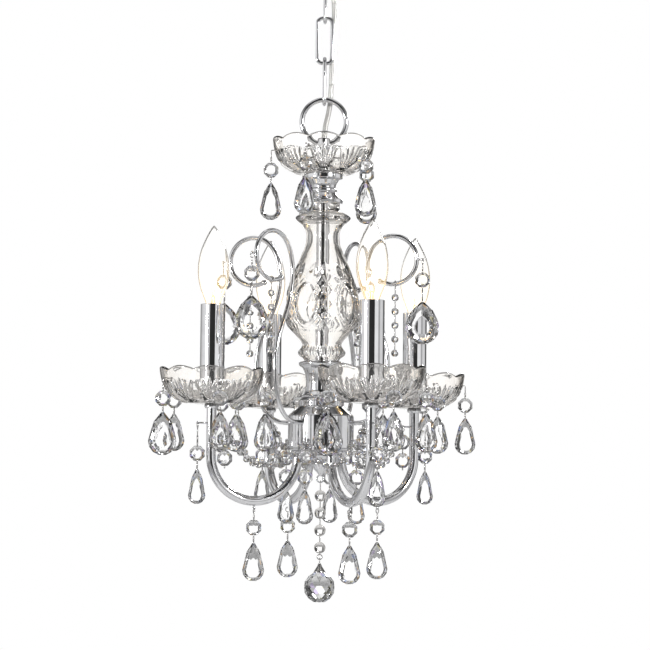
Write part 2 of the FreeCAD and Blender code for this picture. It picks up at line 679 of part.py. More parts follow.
def hub_shell():
    """Hollow hub that holds the wire joints; open below, closed by its cap."""
    high = HUB_NECK_TOP
    low = HUB_CAP_TOP
    wall = HUB_WALL
    bore = NIPPLE_RADIUS + SLIP
    neck = HUB_NECK_RADIUS
    shoulder = HUB_SHELL_TOP
    shell = revolve([
        (bore, high), (neck - 3.0, high), (neck, high - 3.0), (neck, shoulder + 6.0),
        (HUB_RADIUS, shoulder - 3.0), (HUB_RADIUS, low), (HUB_RADIUS - wall, low),
        (HUB_RADIUS - wall, shoulder - 3.6), (neck - wall, shoulder + 5.4),
        (neck - wall, high - 3.4), (neck - 3.4, high - 2.4), (bore, high - 2.4)])
    for angle in SCROLL_ANGLES:
        hole = rod(SCROLL_BAR_RADIUS + SLIP, polar(HUB_RADIUS - 6, 0, scroll_root_z()),
                   polar(HUB_RADIUS + 6, 0, scroll_root_z()))
        shell = shell.cut(turned(hole, angle))
    eye = moved(lug(LUG_REACH), hub_string_anchor() - Vector(LUG_REACH, 0, 0))
    for angle in HUB_STRING_ANGLES:
        shell = shell.fuse(turned(eye, angle))
    return shell


def hub_string_anchor():
    """Eye on the side of the hub."""
    return Vector(HUB_RADIUS - 0.3 + LUG_REACH, 0, HUB_CAP_TOP + HUB_STRING_RISE)


def hub_cap():
    """Bottom cover, drilled for the four arms and the rod."""
    cap = ring(HUB_RADIUS, NIPPLE_RADIUS + SLIP, HUB_CAP_BOTTOM, HUB_CAP_TOP)
    for angle in ARM_ANGLES:
        start = polar(ARM_ROOT, angle, HUB_CAP_BOTTOM - 1)
        cap = cap.cut(rod(ARM_TUBE_RADIUS + SLIP, start, start + Vector(0, 0, 5)))
    return cap


def bottom_finial():
    """Turned nut on the rod's end, with the eye that carries the bead string."""
    high = HUB_CAP_BOTTOM
    low = FINIAL_BOTTOM
    radius = FINIAL_RADIUS
    body = revolve([(0, high), (radius, high), (radius, high - 5.0), (radius - 3.0, high - 8.0),
                    (radius - 1.0, high - 13.0), (radius - 3.5, high - 18.0),
                    (2.0, low + 1.0), (1.2, low - 0.4), (0, low - 0.4)])
    blind = rod(NIPPLE_RADIUS + SLIP, Vector(0, 0, ROD_BOTTOM), Vector(0, 0, high + 1))
    eye = Part.makeTorus(FINIAL_EYE_RADIUS, WIRE_RADIUS, Vector(0, 0, FINIAL_EYE_Z),
                         Vector(0, 1, 0))
    return body.cut(blind).fuse(eye)


# ---------------------------------------------------------------- candle arms
def arm_path():
    """Centre line of an arm in the XZ plane: down, round the bend and up."""
    top_inside = HUB_CAP_TOP + ARM_TUBE_INSIDE_HUB
    top_outside = CUP_BOTTOM + CUP_HEIGHT + ARM_TUBE_ABOVE_CUP
    middle = ARM_ROOT + ARM_BEND_RADIUS
    bend_bottom = Vector(middle, 0, ARM_BEND_Z - ARM_BEND_RADIUS)
    inner = Vector(ARM_ROOT, 0, ARM_BEND_Z)
    outer = Vector(ARM_REACH, 0, ARM_BEND_Z)
    return [Part.LineSegment(Vector(ARM_ROOT, 0, top_inside), inner).toShape(),
            Part.Arc(inner, bend_bottom, outer).toShape(),
            Part.LineSegment(outer, Vector(ARM_REACH, 0, top_outside)).toShape()]


def arm_drop_anchor():
    """Eye below the bend, for the arm's hanging crystal string."""
    return Vector(ARM_ROOT + ARM_BEND_RADIUS, 0, ARM_BOTTOM - 2.2)


def leg_drop_anchor():
    """Eye on the outside of the arm's outer leg."""
    return Vector(ARM_REACH + ARM_TUBE_RADIUS + LEG_EYE_REACH, 0, CUP_BOTTOM - 14.0)


def inner_leg_anchor():
    """Eye on the inside of the arm's outer leg."""
    return Vector(ARM_REACH - ARM_TUBE_RADIUS - LEG_EYE_REACH, 0, CUP_BOTTOM - 14.0)


def arm(angle):
    """Bent tube with its three eyes, and the domed cup that carries the dish."""
    path = arm_path()
    tube = pipe(path, ARM_TUBE_RADIUS)
    below = lug(LUG_REACH)
    below.rotate(Vector(0, 0, 0), Vector(0, 1, 0), 90)
    below.translate(arm_drop_anchor() + Vector(0, 0, LUG_REACH))
    long_lug = LEG_EYE_REACH + 1.6
    beside = moved(lug(long_lug), leg_drop_anchor() - Vector(long_lug, 0, 0))
    within = moved(turned(lug(long_lug), 180), inner_leg_anchor() + Vector(long_lug, 0, 0))
    tube = tube.fuse(below).fuse(beside).fuse(within)
    tube = tube.cut(pipe(path, ARM_TUBE_RADIUS - ARM_TUBE_WALL))
    bore = ARM_TUBE_RADIUS + SLIP
    cup = revolve([(bore, CUP_BOTTOM), (CUP_RADIUS - 1.2, CUP_BOTTOM),
                   (CUP_RADIUS, CUP_BOTTOM + 1.8), (CUP_RADIUS - 0.6, CUP_TOP),
                   (bore, CUP_TOP)])
    cup = moved(cup, Vector(ARM_REACH, 0, 0))
    return Part.makeCompound([turned(tube, angle), turned(cup, angle)])


def on_arm(shape, angle):
    """Put a piece made about Z on the axis of an arm's candle."""
    return moved(shape, polar(ARM_REACH, angle))


def arm_dish(index):
    angles = hook_angles(DISH_HOOK_START[index])
    bowl = dish(DISH_FLOOR, ARM_TUBE_RADIUS + SLIP, angles)
    return on_arm(bowl, ARM_ANGLES[index])


def lamp_sockets():
    """Four candelabra sockets on risers that stand over the ends of the arm tubes."""
    bore = ARM_TUBE_RADIUS + SLIP
    riser = SOCKET_RISER_RADIUS
    cup = DISH_FLOOR + SOCKET_RISER_HEIGHT
    mouth = SLEEVE_TOP - BULB_NECK_DEPTH - 1.0
    socket = revolve([(bore, DISH_FLOOR), (riser, DISH_FLOOR), (riser, cup),
                      (SOCKET_RADIUS, cup), (SOCKET_RADIUS, mouth), (SOCKET_BORE, mouth),
                      (SOCKET_BORE, cup + SOCKET_BASE), (bore, cup + SOCKET_BASE)])
    return Part.makeCompound([on_arm(socket, angle) for angle in ARM_ANGLES])


def candle_sleeve(angle):
    inner = SLEEVE_RADIUS - SLEEVE_WALL
    return on_arm(ring(SLEEVE_RADIUS, inner, DISH_FLOOR, SLEEVE_TOP), angle)


def bulb(angle):
    """Flame-shaped glass, screw base and filament support."""
    neck_bottom = SLEEVE_TOP - BULB_NECK_DEPTH
    widest = SLEEVE_TOP + BULB_HEIGHT * 0.42
    tip = SLEEVE_TOP + BULB_HEIGHT
    shoulders = [(BULB_NECK_RADIUS, neck_bottom), (BULB_NECK_RADIUS + 0.8, SLEEVE_TOP + 2.0),
                 (BULB_RADIUS * 0.83, SLEEVE_TOP + BULB_HEIGHT * 0.18),
                 (BULB_RADIUS, widest), (BULB_RADIUS * 0.86, SLEEVE_TOP + BULB_HEIGHT * 0.62),
                 (BULB_RADIUS * 0.5, SLEEVE_TOP + BULB_HEIGHT * 0.82),
                 (2.6, tip - 3.0), (1.0, tip)]
    inside = [(radius - BULB_WALL, z) for radius, z in shoulders[:-2]]
    inside += [(1.4, tip - 3.6), (0.0, tip - 3.6)]
    envelope = revolve(shoulders + [(0.0, tip)] + list(reversed(inside)))
    base = rod(BULB_BASE_RADIUS, Vector(0, 0, neck_bottom - BULB_BASE_HEIGHT),
               Vector(0, 0, neck_bottom))
    support = revolve([(0, neck_bottom), (3.4, neck_bottom), (2.0, SLEEVE_TOP + 3.0),
                       (1.2, SLEEVE_TOP + 11.0), (0, SLEEVE_TOP + 11.0)])
    pieces = [on_arm(piece, angle) for piece in (envelope, base, support)]
    return Part.makeCompound(pieces)


# ---------------------------------------------------------------- scroll arms
def scroll_root_z():
    return HUB_SHELL_TOP - 10.0


def scroll_path():
    """Centre line in the XZ plane: out of the hub, up the S and round the curl."""
    root = scroll_root_z()
    centre = Vector(SCROLL_CURL_CENTRE, 0, CURL_Z)
    radius = SCROLL_CURL_RADIUS
    outward = Vector(1, 0, 0)
    upward = Vector(0, 0, 1)
    inside = Vector(HUB_RADIUS - 4.0, 0, root)
    mouth = Vector(HUB_RADIUS + 3.0, 0, root)
    belly = Vector(SCROLL_BELLY, 0, root + SCROLL_BELLY_RISE)
    waist = Vector(SCROLL_WAIST, 0, CURL_Z - SCROLL_WAIST_DROP)
    top = centre + Vector(0, 0, radius)
    tail = math.radians(SCROLL_CURL_TAIL)
    outer = centre + Vector(radius, 0, 0)
    end = centre - Vector(radius * math.sin(tail), 0, radius * math.cos(tail))
    half = math.radians(45.0 + SCROLL_CURL_TAIL / 2)
    below = centre + Vector(radius * math.cos(half), 0, -radius * math.sin(half))
    above = centre + Vector(radius * math.sqrt(0.5), 0, radius * math.sqrt(0.5))
    edges = [Part.LineSegment(inside, mouth).toShape()]
    edges += two_arcs(mouth, outward, belly, upward)
    edges += two_arcs(belly, upward, waist, upward)
    edges += two_arcs(waist, upward, top, outward)
    edges.append(Part.Arc(top, above, outer).toShape())
    edges.append(Part.Arc(outer, below, end).toShape())
    return edges


def scroll_drop_anchor():
    return Vector(SCROLL_CURL_CENTRE + SCROLL_CURL_RADIUS + SCROLL_BAR_RADIUS + 3.6, 0, CURL_Z)


def scroll(angle):
    bar = pipe(scroll_path(), SCROLL_BAR_RADIUS)
    eye = moved(lug(LUG_REACH), scroll_drop_anchor() - Vector(LUG_REACH, 0, 0))
    return turned(bar.fuse(eye), angle)


def bead_strand():
    """Wire ring round the curl's lowest stretch, with small beads on wire below it."""
    x = SCROLL_CURL_CENTRE + STRAND_OFFSET
    bar_z = CURL_Z - math.sqrt(SCROLL_CURL_RADIUS ** 2 - STRAND_OFFSET ** 2)
    hoop = SCROLL_BAR_RADIUS + PIN_RADIUS + 2 * SLIP + 0.1
    pieces = [Part.makeTorus(hoop, PIN_RADIUS, Vector(x, 0, bar_z), Vector(1, 0, 0))]
    low = bar_z - hoop - PIN_RADIUS
    gap = STRAND_PITCH - 2 * STRAND_BEAD_RADIUS
    for step in range(STRAND_BEADS):
        start = Vector(x, 0, low - step * STRAND_PITCH)
        centre = start - Vector(0, 0, gap + STRAND_BEAD_RADIUS)
        pieces.append(rod(PIN_RADIUS, start - Vector(0, 0, gap), start))
        pieces.append(Part.makeSphere(STRAND_BEAD_RADIUS, centre))
    return pieces


def bead_strands():
    pieces = []
    for angle in SCROLL_ANGLES:
        pieces += [turned(piece, angle) for piece in bead_strand()]
    return Part.makeCompound(pieces)


# ---------------------------------------------------------------- crystal strings
def dish_hook(centre_angle, radius_of_centre, floor_z, angle):
    crest = floor_z - DISH_WALL + DISH_HEIGHT
    return polar(radius_of_centre, centre_angle, crest - HOOK_DROP) + polar(hook_radius(), angle)


def upper_drop(index):
    angle = hook_angles(UPPER_HOOK_START)[index]
    hole = dish_hook(0.0, 0.0, UPPER_DISH_FLOOR, angle)
    return Part.makeCompound(dish_string(hole, angle, False))


def arm_crystals(index):
    """The strings on an arm's dish, on both sides of its outer leg and on the hub."""
    pieces = leg_string(ARM_ANGLES[index]) + hub_string(HUB_STRING_ANGLES[index])
    inside = turned_point(inner_leg_anchor(), ARM_ANGLES[index])
    pieces += bead_chain(inside, ARM_ANGLES[index], CHAIN_HANG, CHAIN_BEADS)
    for number, angle in enumerate(hook_angles(DISH_HOOK_START[index])):
        hole = dish_hook(ARM_ANGLES[index], ARM_REACH, DISH_FLOOR, angle)
        large = number == DISH_LARGE_DROP[index]
        pieces += dish_string(hole, angle, large)
    return Part.makeCompound(pieces)


def arm_drop(angle):
    anchor = turned_point(arm_drop_anchor(), angle)
    return Part.makeCompound(free_string(anchor, angle, ARM_DROP_HANG, ARM_DROP_GAP, DROP_WIDTH,
                                         DROP_LENGTH, DROP_THICKNESS))


def leg_string(angle):
    anchor = turned_point(leg_drop_anchor(), angle)
    return free_string(anchor, angle, LEG_DROP_HANG, LEG_DROP_GAP, LEG_DROP_WIDTH,
                       LEG_DROP_LENGTH, LEG_DROP_THICKNESS)


def hub_string(angle):
    """Octagons and a drop that hang beside the hub, between two arms."""
    anchor = turned_point(hub_string_anchor(), angle)
    pieces = bead_chain(anchor, angle, HUB_STRING_HANG, HUB_STRING_BEADS)
    low = HUB_STRING_HANG + HUB_STRING_BEADS * (BEAD_ACROSS + CHAIN_GAP_LENGTH) - CHAIN_GAP_LENGTH
    drop_top = -low - HUB_DROP_GAP
    pieces.append(moved(rod(PIN_RADIUS, Vector(0, 0, drop_top), Vector(0, 0, -low)), anchor))
    drop = almond_drop(drop_top, LEG_DROP_WIDTH, LEG_DROP_LENGTH, LEG_DROP_THICKNESS)
    return pieces + [moved(drop, anchor)]


def scroll_drop(angle):
    anchor = turned_point(scroll_drop_anchor(), angle)
    return Part.makeCompound(free_string(anchor, angle, PEAR_HANG, PEAR_GAP, PEAR_WIDTH,
                                         PEAR_LENGTH, PEAR_THICKNESS))


def turned_point(point, angle):
    return Rotation(Vector(0, 0, 1), angle).multVec(point)


def string_hook_z():
    """Centre of the wire ring that hangs in the finial's eye."""
    return FINIAL_EYE_Z - FINIAL_EYE_RADIUS + WIRE_RADIUS + CHAIN_GAP + PIN_RADIUS


def bead_string():
    """Four smooth glass beads on wire, from the finial's eye to the ball."""
    top = string_hook_z()
    eye = Part.makeTorus(LINK_EYE_RADIUS, PIN_RADIUS, Vector(0, 0, top - LINK_EYE_RADIUS),
                         Vector(1, 0, 0))
    first_bead = top - 2 * LINK_EYE_RADIUS - STRING_TOP_WIRE - STRING_BEAD_RADIUS
    pieces = [eye.fuse(rod(PIN_RADIUS, Vector(0, 0, top - 2 * LINK_EYE_RADIUS),
                           Vector(0, 0, first_bead + STRING_BEAD_RADIUS)))]
    for index in range(STRING_BEAD_COUNT):
        z = first_bead - index * STRING_PITCH
        pieces.append(Part.makeSphere(STRING_BEAD_RADIUS, Vector(0, 0, z)))
        low = Vector(0, 0, z - STRING_BEAD_RADIUS)
        if index < STRING_BEAD_COUNT - 1:
            tail = Vector(0, 0, z - STRING_PITCH + STRING_BEAD_RADIUS)
            pieces.append(rod(PIN_RADIUS, low, tail))
    last_eye = Part.makeTorus(LINK_EYE_RADIUS, PIN_RADIUS,
                              Vector(0, 0, ball_pivot_z() + LINK_EYE_RADIUS), Vector(0, 1, 0))
    stub_top = Vector(0, 0, string_bottom_z())
    stub = rod(PIN_RADIUS, stub_top, Vector(0, 0, ball_pivot_z() + 2 * LINK_EYE_RADIUS))
    pieces.append(last_eye.fuse(stub))
    return Part.makeCompound(pieces)


def string_bottom_z():
    """Underside of the lowest bead on the string."""
    top = string_hook_z() - 2 * LINK_EYE_RADIUS - STRING_TOP_WIRE
    return top - 2 * STRING_BEAD_RADIUS - (STRING_BEAD_COUNT - 1) * STRING_PITCH


def ball_pivot_z():
    """Lowest bar of the string's last ring, where the ball's ring hangs."""
    return string_bottom_z() - 1.0 - 2 * LINK_EYE_RADIUS


def crystal_ball():
    """Faceted ball with its metal cap and ring."""
    ring_top = ball_pivot_z() + 2 * PIN_RADIUS + CHAIN_GAP
    eye = Part.makeTorus(LINK_EYE_RADIUS, PIN_RADIUS, Vector(0, 0, ring_top - LINK_EYE_RADIUS),
                         Vector(1, 0, 0))
    cap_top = ring_top - 2 * LINK_EYE_RADIUS
    cap_bottom = cap_top - BALL_CAP_HEIGHT
    flat = math.radians(67.5)
    seat = BALL_RADIUS * math.cos(flat) * math.cos(math.radians(15.0))
    cap = revolve([(0, cap_top), (1.2, cap_top), (2.4, cap_top - 3.0),
                   (seat, cap_bottom + 1.0), (seat, cap_bottom), (0, cap_bottom)])
    centre = cap_bottom - BALL_RADIUS * math.sin(flat)
    layers = []
    for step in range(7):
        lift = math.radians(-67.5 + step * 22.5)
        layers.append([polar(BALL_RADIUS * math.cos(lift), 30.0 * side,
                             centre + BALL_RADIUS * math.sin(lift)) for side in range(12)])
    return Part.makeCompound([eye.fuse(cap), layered_solid(layers)])


# ---------------------------------------------------------------- write the sub-parts
def build():
    nodes = {
        "mounting_strap": mounting_strap(),
        "canopy": canopy(),
        "canopy_nipple": canopy_nipple(),
        "canopy_loop": canopy_loop(),
        "supply_cord": supply_cord(),
        "top_loop": top_loop(),
        "stem_coupling": stem_coupling(),
        "centre_rod": centre_rod(),
        "upper_dish": upper_dish(),
        "spool_neck": spool_neck(),
        "glass_body": glass_body(),
        "centre_tube": centre_tube(),
        "hub_collar": hub_collar(),
        "hub_shell": hub_shell(),
        "hub_cap": hub_cap(),
        "bottom_finial": bottom_finial(),
        "lamp_sockets": lamp_sockets(),
        "bead_strands": bead_strands(),
        "bead_string": bead_string(),
        "crystal_ball": crystal_ball(),
    }
    for index in range(LINK_COUNT):
        nodes["chain_link_%d" % (index + 1)] = chain_link(index)
    for index, angle in enumerate(ARM_ANGLES):
        number = index + 1
        nodes["arm_%d" % number] = arm(angle)
        nodes["arm_dish_%d" % number] = arm_dish(index)
        nodes["candle_sleeve_%d" % number] = candle_sleeve(angle)
        nodes["bulb_%d" % number] = bulb(angle)
        nodes["arm_crystals_%d" % number] = arm_crystals(index)
        nodes["arm_drop_%d" % number] = arm_drop(angle)
    for index, angle in enumerate(SCROLL_ANGLES):
        nodes["scroll_%d" % (index + 1)] = scroll(angle)
        nodes["scroll_drop_%d" % (index + 1)] = scroll_drop(angle)
    for index in range(DISH_HOOKS):
        nodes["upper_drop_%d" % (index + 1)] = upper_drop(index)
    return nodes


def main():
    os.makedirs("parts", exist_ok=True)
    for name, shape in sorted(build().items()):
        if not shape.isValid():
            print("not valid:", name)
        shape.exportStep("parts/%s.step" % name)
        box = shape.BoundBox
        print("%-18s z %8.1f .. %8.1f  solids %d" % (name, box.ZMin, box.ZMax, len(shape.Solids)))


main()
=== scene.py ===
# %% [markdown]
# # A mini crystal chandelier
# A ceiling light on a short chain: a turned metal stem, a cut-glass baluster, four
# candle arms that end in glass dishes, four wire scrolls and many hanging crystals.
# Metal and glass show their surroundings and little else, so three things make the
# picture: exact curves, sharp small facets, and a studio with both white and black in it.

# %% Load the frame
import json
import math

import bmesh
import bpy
import numpy as np
from mathutils import Matrix, Vector


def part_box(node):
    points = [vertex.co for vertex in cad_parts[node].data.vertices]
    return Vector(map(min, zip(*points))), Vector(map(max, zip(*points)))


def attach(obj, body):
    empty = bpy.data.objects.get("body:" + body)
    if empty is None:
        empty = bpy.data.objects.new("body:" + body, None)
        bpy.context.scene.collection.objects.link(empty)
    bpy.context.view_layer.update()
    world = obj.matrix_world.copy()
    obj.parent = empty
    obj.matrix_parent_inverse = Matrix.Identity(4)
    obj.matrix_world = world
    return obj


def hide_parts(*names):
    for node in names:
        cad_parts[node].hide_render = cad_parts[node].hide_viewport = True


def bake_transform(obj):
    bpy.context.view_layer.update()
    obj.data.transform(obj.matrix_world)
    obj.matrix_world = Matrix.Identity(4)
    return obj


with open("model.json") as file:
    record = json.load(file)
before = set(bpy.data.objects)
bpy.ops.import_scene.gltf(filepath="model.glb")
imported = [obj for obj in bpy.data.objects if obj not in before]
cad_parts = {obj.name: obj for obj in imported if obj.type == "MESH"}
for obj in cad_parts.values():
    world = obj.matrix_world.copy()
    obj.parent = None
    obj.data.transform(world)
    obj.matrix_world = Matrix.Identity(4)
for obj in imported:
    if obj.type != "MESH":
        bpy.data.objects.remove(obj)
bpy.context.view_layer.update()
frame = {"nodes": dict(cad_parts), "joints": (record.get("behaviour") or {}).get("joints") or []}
MM = 0.001  # every size below is in millimetres


# %% [markdown]
# ## Where things are
# The frame holds every solid at its place. A node's box gives its top, its bottom and
# its middle, so a finished piece is built round the same numbers and needs no fitting.

# %% Levels and places
def top(node):
    """Height of a frame node's highest point."""
    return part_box(node)[1].z / MM


def bottom(node):
    """Height of a frame node's lowest point."""
    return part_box(node)[0].z / MM


def polar(radius, angle, z=0.0):
    """The point at this distance and angle (degrees) from the stem, at height z."""
    turn = math.radians(angle)
    return np.array([radius * math.cos(turn), radius * math.sin(turn), z])


ARM_ANGLES = [-65.0, 32.0, 119.0, 197.0]
SCROLL_ANGLES = [-132.0, -13.0, 61.0, 167.0]
ARM_REACH = 109.7
DISH_FLOOR = bottom("arm_dish_1") + 3.0
SLEEVE_TOP = top("candle_sleeve_1")
BODY_TOP = top("glass_body")
joint_place = {joint["name"]: np.array(joint.get("pos_m", (0, 0, 0))) / MM
               for joint in frame["joints"]}
print("dish floor %.1f, sleeve top %.1f" % (DISH_FLOOR, SLEEVE_TOP))

# %% [markdown]
# ## The camera
# A long lens two metres away, a little below the middle of the object and looking
# slightly up, so the dishes are seen from just under their rims. The camera leans by
# half a degree, as a hand-held one does.

# %% Camera
EYE = Vector((0.0029, -2.04, -0.536))
AIM = Vector((0.0029, 0.0, -0.3938))
lens = bpy.data.cameras.new("camera")
lens.sensor_width = 36.0
lens.lens = 116.0
camera = bpy.data.objects.new("camera", lens)
bpy.context.scene.collection.objects.link(camera)
look = (AIM - EYE).to_track_quat("-Z", "Y").to_matrix().to_4x4()
camera.matrix_world = Matrix.Translation(EYE) @ look @ Matrix.Rotation(math.radians(0.59), 4, "Z")
bpy.context.scene.camera = camera
bpy.context.scene.view_settings.view_transform = "Standard"
print("camera %.2f m from the stem" % (AIM - EYE).length)


# %% [markdown]
# ## Shader maths as plain expressions
# A node tree for a formula is hard to read as nodes and easy to read as a formula. So
# an output socket is wrapped in a small class whose operators add the Math nodes, and
# one method adds every other kind of node.

# %% Sockets that can be added and multiplied
class Signal:
    """An output socket; +, -, *, / and ** each add the Math node of that name."""

    def __init__(self, finish, socket):
        self.finish, self.socket = finish, socket

    def math(self, operation, first, second):
        return self.finish.node("ShaderNodeMath", {"operation": operation}, (first, second))

    def __add__(self, other):
        return self.math("ADD", self, other)

    __radd__ = __add__

    def __mul__(self, other):
        return self.math("MULTIPLY", self, other)

    __rmul__ = __mul__

    def __sub__(self, other):
        return self.math("SUBTRACT", self, other)

    def __rsub__(self, other):
        return self.math("SUBTRACT", other, self)

    def __truediv__(self, other):
        return self.math("DIVIDE", self, other)

    def __pow__(self, other):
        return self.math("POWER", self, other)


class Finish:
    """A material, or the world, and its nodes."""

    def __init__(self, owner):
        self.owner = owner
        owner.use_nodes = True
        self.tree = owner.node_tree
        self.tree.nodes.clear()

    def node(self, kind, settings, values=(), output=0):
        """Add a node: its settings first, then the value or link of each input."""
        made = self.tree.nodes.new(kind)
        for name, value in settings.items():
            if name == "stops":
                self.set_stops(made.color_ramp, value)
            else:
                setattr(made, name, value)
        pairs = values.items() if isinstance(values, dict) else enumerate(values)
        for name, value in pairs:
            if isinstance(value, Signal):
                self.tree.links.new(value.socket, made.inputs[name])
            elif value is not None:
                made.inputs[name].default_value = value
        return Signal(self, made.outputs[output]) if len(made.outputs) else made

    def set_stops(self, ramp, stops):
        """Stops of a ramp, each a position and a grey or a colour."""
        while len(ramp.elements) < len(stops):
            ramp.elements.new(1.0)
        for element, (position, colour) in zip(ramp.elements, stops):
            element.position = position
            three = colour if isinstance(colour, tuple) else (colour, colour, colour)
            element.color = (*three, 1.0)

    def ramp(self, signal, stops, interpolation="LINEAR"):
        """Colour that follows the stops as the signal goes from 0 to 1."""
        made = self.node("ShaderNodeValToRGB", {"stops": stops}, (signal,))
        made.socket.node.color_ramp.interpolation = interpolation
        return made

    def noise(self, scale, detail=3.0):
        """Soft noise over the piece's own coordinates, about 0.5 on average."""
        place = self.node("ShaderNodeTexCoord", {}, output=3)
        return self.node("ShaderNodeTexNoise", {"noise_dimensions": "3D"},
                         {"Vector": place, "Scale": scale, "Detail": detail})

    def relief(self, height, strength, distance):
        """Bumped normal from a height."""
        return self.node("ShaderNodeBump", {}, {"Strength": strength, "Distance": distance,
                                                "Height": height})

    def surface(self, **values):
        """The main shader; an underscore in a name stands for a space."""
        named = {name.replace("_", " "): value for name, value in values.items()}
        shader = self.node("ShaderNodeBsdfPrincipled", {}, named)
        self.node("ShaderNodeOutputMaterial", {}, (shader,))
        return self.owner


def new_finish(name):
    return Finish(bpy.data.materials.new(name))


# %% [markdown]
# ## Metal
# Chrome plate is a mirror with the faintest cloudiness from handling. Its roughness
# drifts over a few centimetres and its surface has a very shallow waviness from the
# polishing wheel; without them the reflections look cut out of paper.

# %% Chrome, plated steel, wire and brass
def metal(name, colour, smooth, rough, wave):
    """Metal whose roughness drifts between two values, over a shallow waviness."""
    finish = new_finish(name)
    cloud = finish.noise(34.0)
    shade = finish.ramp(finish.noise(90.0, 5.0), [(0.3, tuple(0.9 * c for c in colour)),
                                                  (0.7, colour)])
    ripple = finish.relief(finish.noise(160.0, 2.0), wave, 0.0004)
    return finish.surface(Base_Color=shade, Metallic=1.0,
                          Roughness=smooth + (rough - smooth) * cloud, Normal=ripple)


CHROME = metal("chrome", (0.80, 0.80, 0.815), 0.03, 0.11, 0.05)
PLATED = metal("plated_steel", (0.62, 0.61, 0.58), 0.22, 0.42, 0.2)
WIRE = metal("crystal_wire", (0.60, 0.59, 0.58), 0.1, 0.3, 0.1)
BRASS = metal("lamp_brass", (0.78, 0.6, 0.3), 0.15, 0.3, 0.1)

# %% [markdown]
# ## Glass
# Pressed glass is a touch warm and its skin is slightly uneven, so it bends what is
# behind it. Cut crystal is clear and dead flat on each facet. What the eye takes for
# fire is single facets that send out one colour, so each facet carries a number and a
# ramp paints a few of those numbers a colour, as painted fire, and more of them a grey,
# as painted shade on facets that look dark.

# %% Pressed glass, crystal and lamp glass
GLOW_START = 3.82  # ten times the height in metres at which a lamp's glow begins


def pressed_glass():
    """Pressed glass: nearly clear face on, warmer where the light runs along the wall."""
    finish = new_finish("pressed_glass")
    slant = finish.node("ShaderNodeLayerWeight", {}, {"Blend": 0.5}, output=1)
    tint = finish.ramp(slant + 0.12 * finish.noise(26.0), [
        (0.25, (0.995, 0.985, 0.97)), (0.6, (0.965, 0.93, 0.885)), (0.95, (0.86, 0.77, 0.68))])
    skin = finish.relief(finish.noise(70.0, 2.0), 0.25, 0.0012)
    return finish.surface(Base_Color=tint, Roughness=0.01 + 0.05 * finish.noise(120.0),
                          IOR=1.5, Transmission_Weight=1.0, Normal=skin)


def cut_crystal():
    finish = new_finish("cut_crystal")
    glint = finish.node("ShaderNodeAttribute", {"attribute_name": "glint"}, output=2)
    # Painted light on the facets: the grey stops paint shade on facets that look dark, the coloured
    # stops paint the fire of single facets, and the rest stay clear.
    colour = finish.ramp(glint, [
        (0.0, 1.0), (0.52, 0.82), (0.66, 0.62), (0.78, 0.4), (0.85, (0.42, 0.52, 0.9)),
        (0.89, (0.95, 0.5, 0.2)), (0.92, (0.6, 0.45, 0.85)), (0.945, (0.93, 0.85, 0.4)),
        (0.965, 1.0)], "CONSTANT")
    return finish.surface(Base_Color=colour, Roughness=0.004 + 0.02 * finish.noise(200.0),
                          IOR=1.56, Transmission_Weight=1.0)


def lamp_glass():
    """Clear glass; the lamp's own light fills the lower half of it with a warm haze."""
    finish = new_finish("lamp_glass")
    tint = finish.ramp(finish.noise(30.0), [(0.3, (0.99, 0.985, 0.97)), (0.7, (1.0, 1.0, 0.995))])
    place = finish.node("ShaderNodeTexCoord", {}, output=3)
    rise = finish.node("ShaderNodeSeparateXYZ", {}, (place,), output=2) * 10 + GLOW_START
    haze = finish.ramp(rise, [(0.0, 0.0), (0.08, (0.2, 0.13, 0.05)), (0.22, (0.12, 0.085, 0.04)),
                              (0.6, (0.01, 0.008, 0.005)), (1.0, 0.0)])
    return finish.surface(Base_Color=tint, Roughness=0.0 + 0.02 * finish.noise(60.0), IOR=1.3,
                          Transmission_Weight=1.0, Emission_Color=haze, Emission_Strength=1.0)


def filament_glow():
    finish = new_finish("filament")
    heat = finish.ramp(finish.noise(900.0), [(0.3, (1.0, 0.62, 0.25)), (0.7, (1.0, 0.8, 0.45))])
    return finish.surface(Base_Color=(0.9, 0.6, 0.3, 1.0), Roughness=0.5, Emission_Color=heat,
                          Emission_Strength=60.0)


GLASS, CRYSTAL, LAMP, FILAMENT = pressed_glass(), cut_crystal(), lamp_glass(), filament_glow()


# %% [markdown]
# ## Plastic
# The lamp cord is clear vinyl over silvery strands, which show as fine slanted lines.
# The sockets are plain moulded plastic.

# %% Cord and socket plastic
def cord_vinyl():
    finish = new_finish("cord_vinyl")
    along = finish.node("ShaderNodeUVMap", {"uv_map": "along"})
    bands = finish.node("ShaderNodeTexWave", {"wave_type": "BANDS", "bands_direction": "DIAGONAL"},
                        {"Vector": along, "Scale": 3.0, "Distortion": 0.4}, output=1)
    colour = finish.ramp(bands, [(0.1, (0.36, 0.35, 0.33)), (0.55, (0.72, 0.71, 0.68)),
                                 (0.9, (0.9, 0.9, 0.88))])
    return finish.surface(Base_Color=colour, Metallic=0.35, Roughness=0.22 + 0.12 * bands,
                          Coat_Weight=0.8, Coat_Roughness=0.08,
                          Normal=finish.relief(bands, 0.4, 0.0003))


def socket_plastic():
    finish = new_finish("socket_plastic")
    grain = finish.noise(400.0)
    colour = finish.ramp(grain, [(0.3, (0.74, 0.72, 0.66)), (0.7, (0.82, 0.8, 0.75))])
    return finish.surface(Base_Color=colour, Roughness=0.45 + 0.2 * grain,
                          Normal=finish.relief(grain, 0.3, 0.0002))


VINYL, SOCKET = cord_vinyl(), socket_plastic()
print("finishes:", len(bpy.data.materials))


# %% [markdown]
# ## Surfaces from numbers
# Each piece is a grid of points: turned work is a profile carried round a circle, and
# bent wire is a circle carried along a path. A grid becomes a mesh in whole arrays. A
# row of the grid that shrinks to one point becomes a pole with triangles round it.

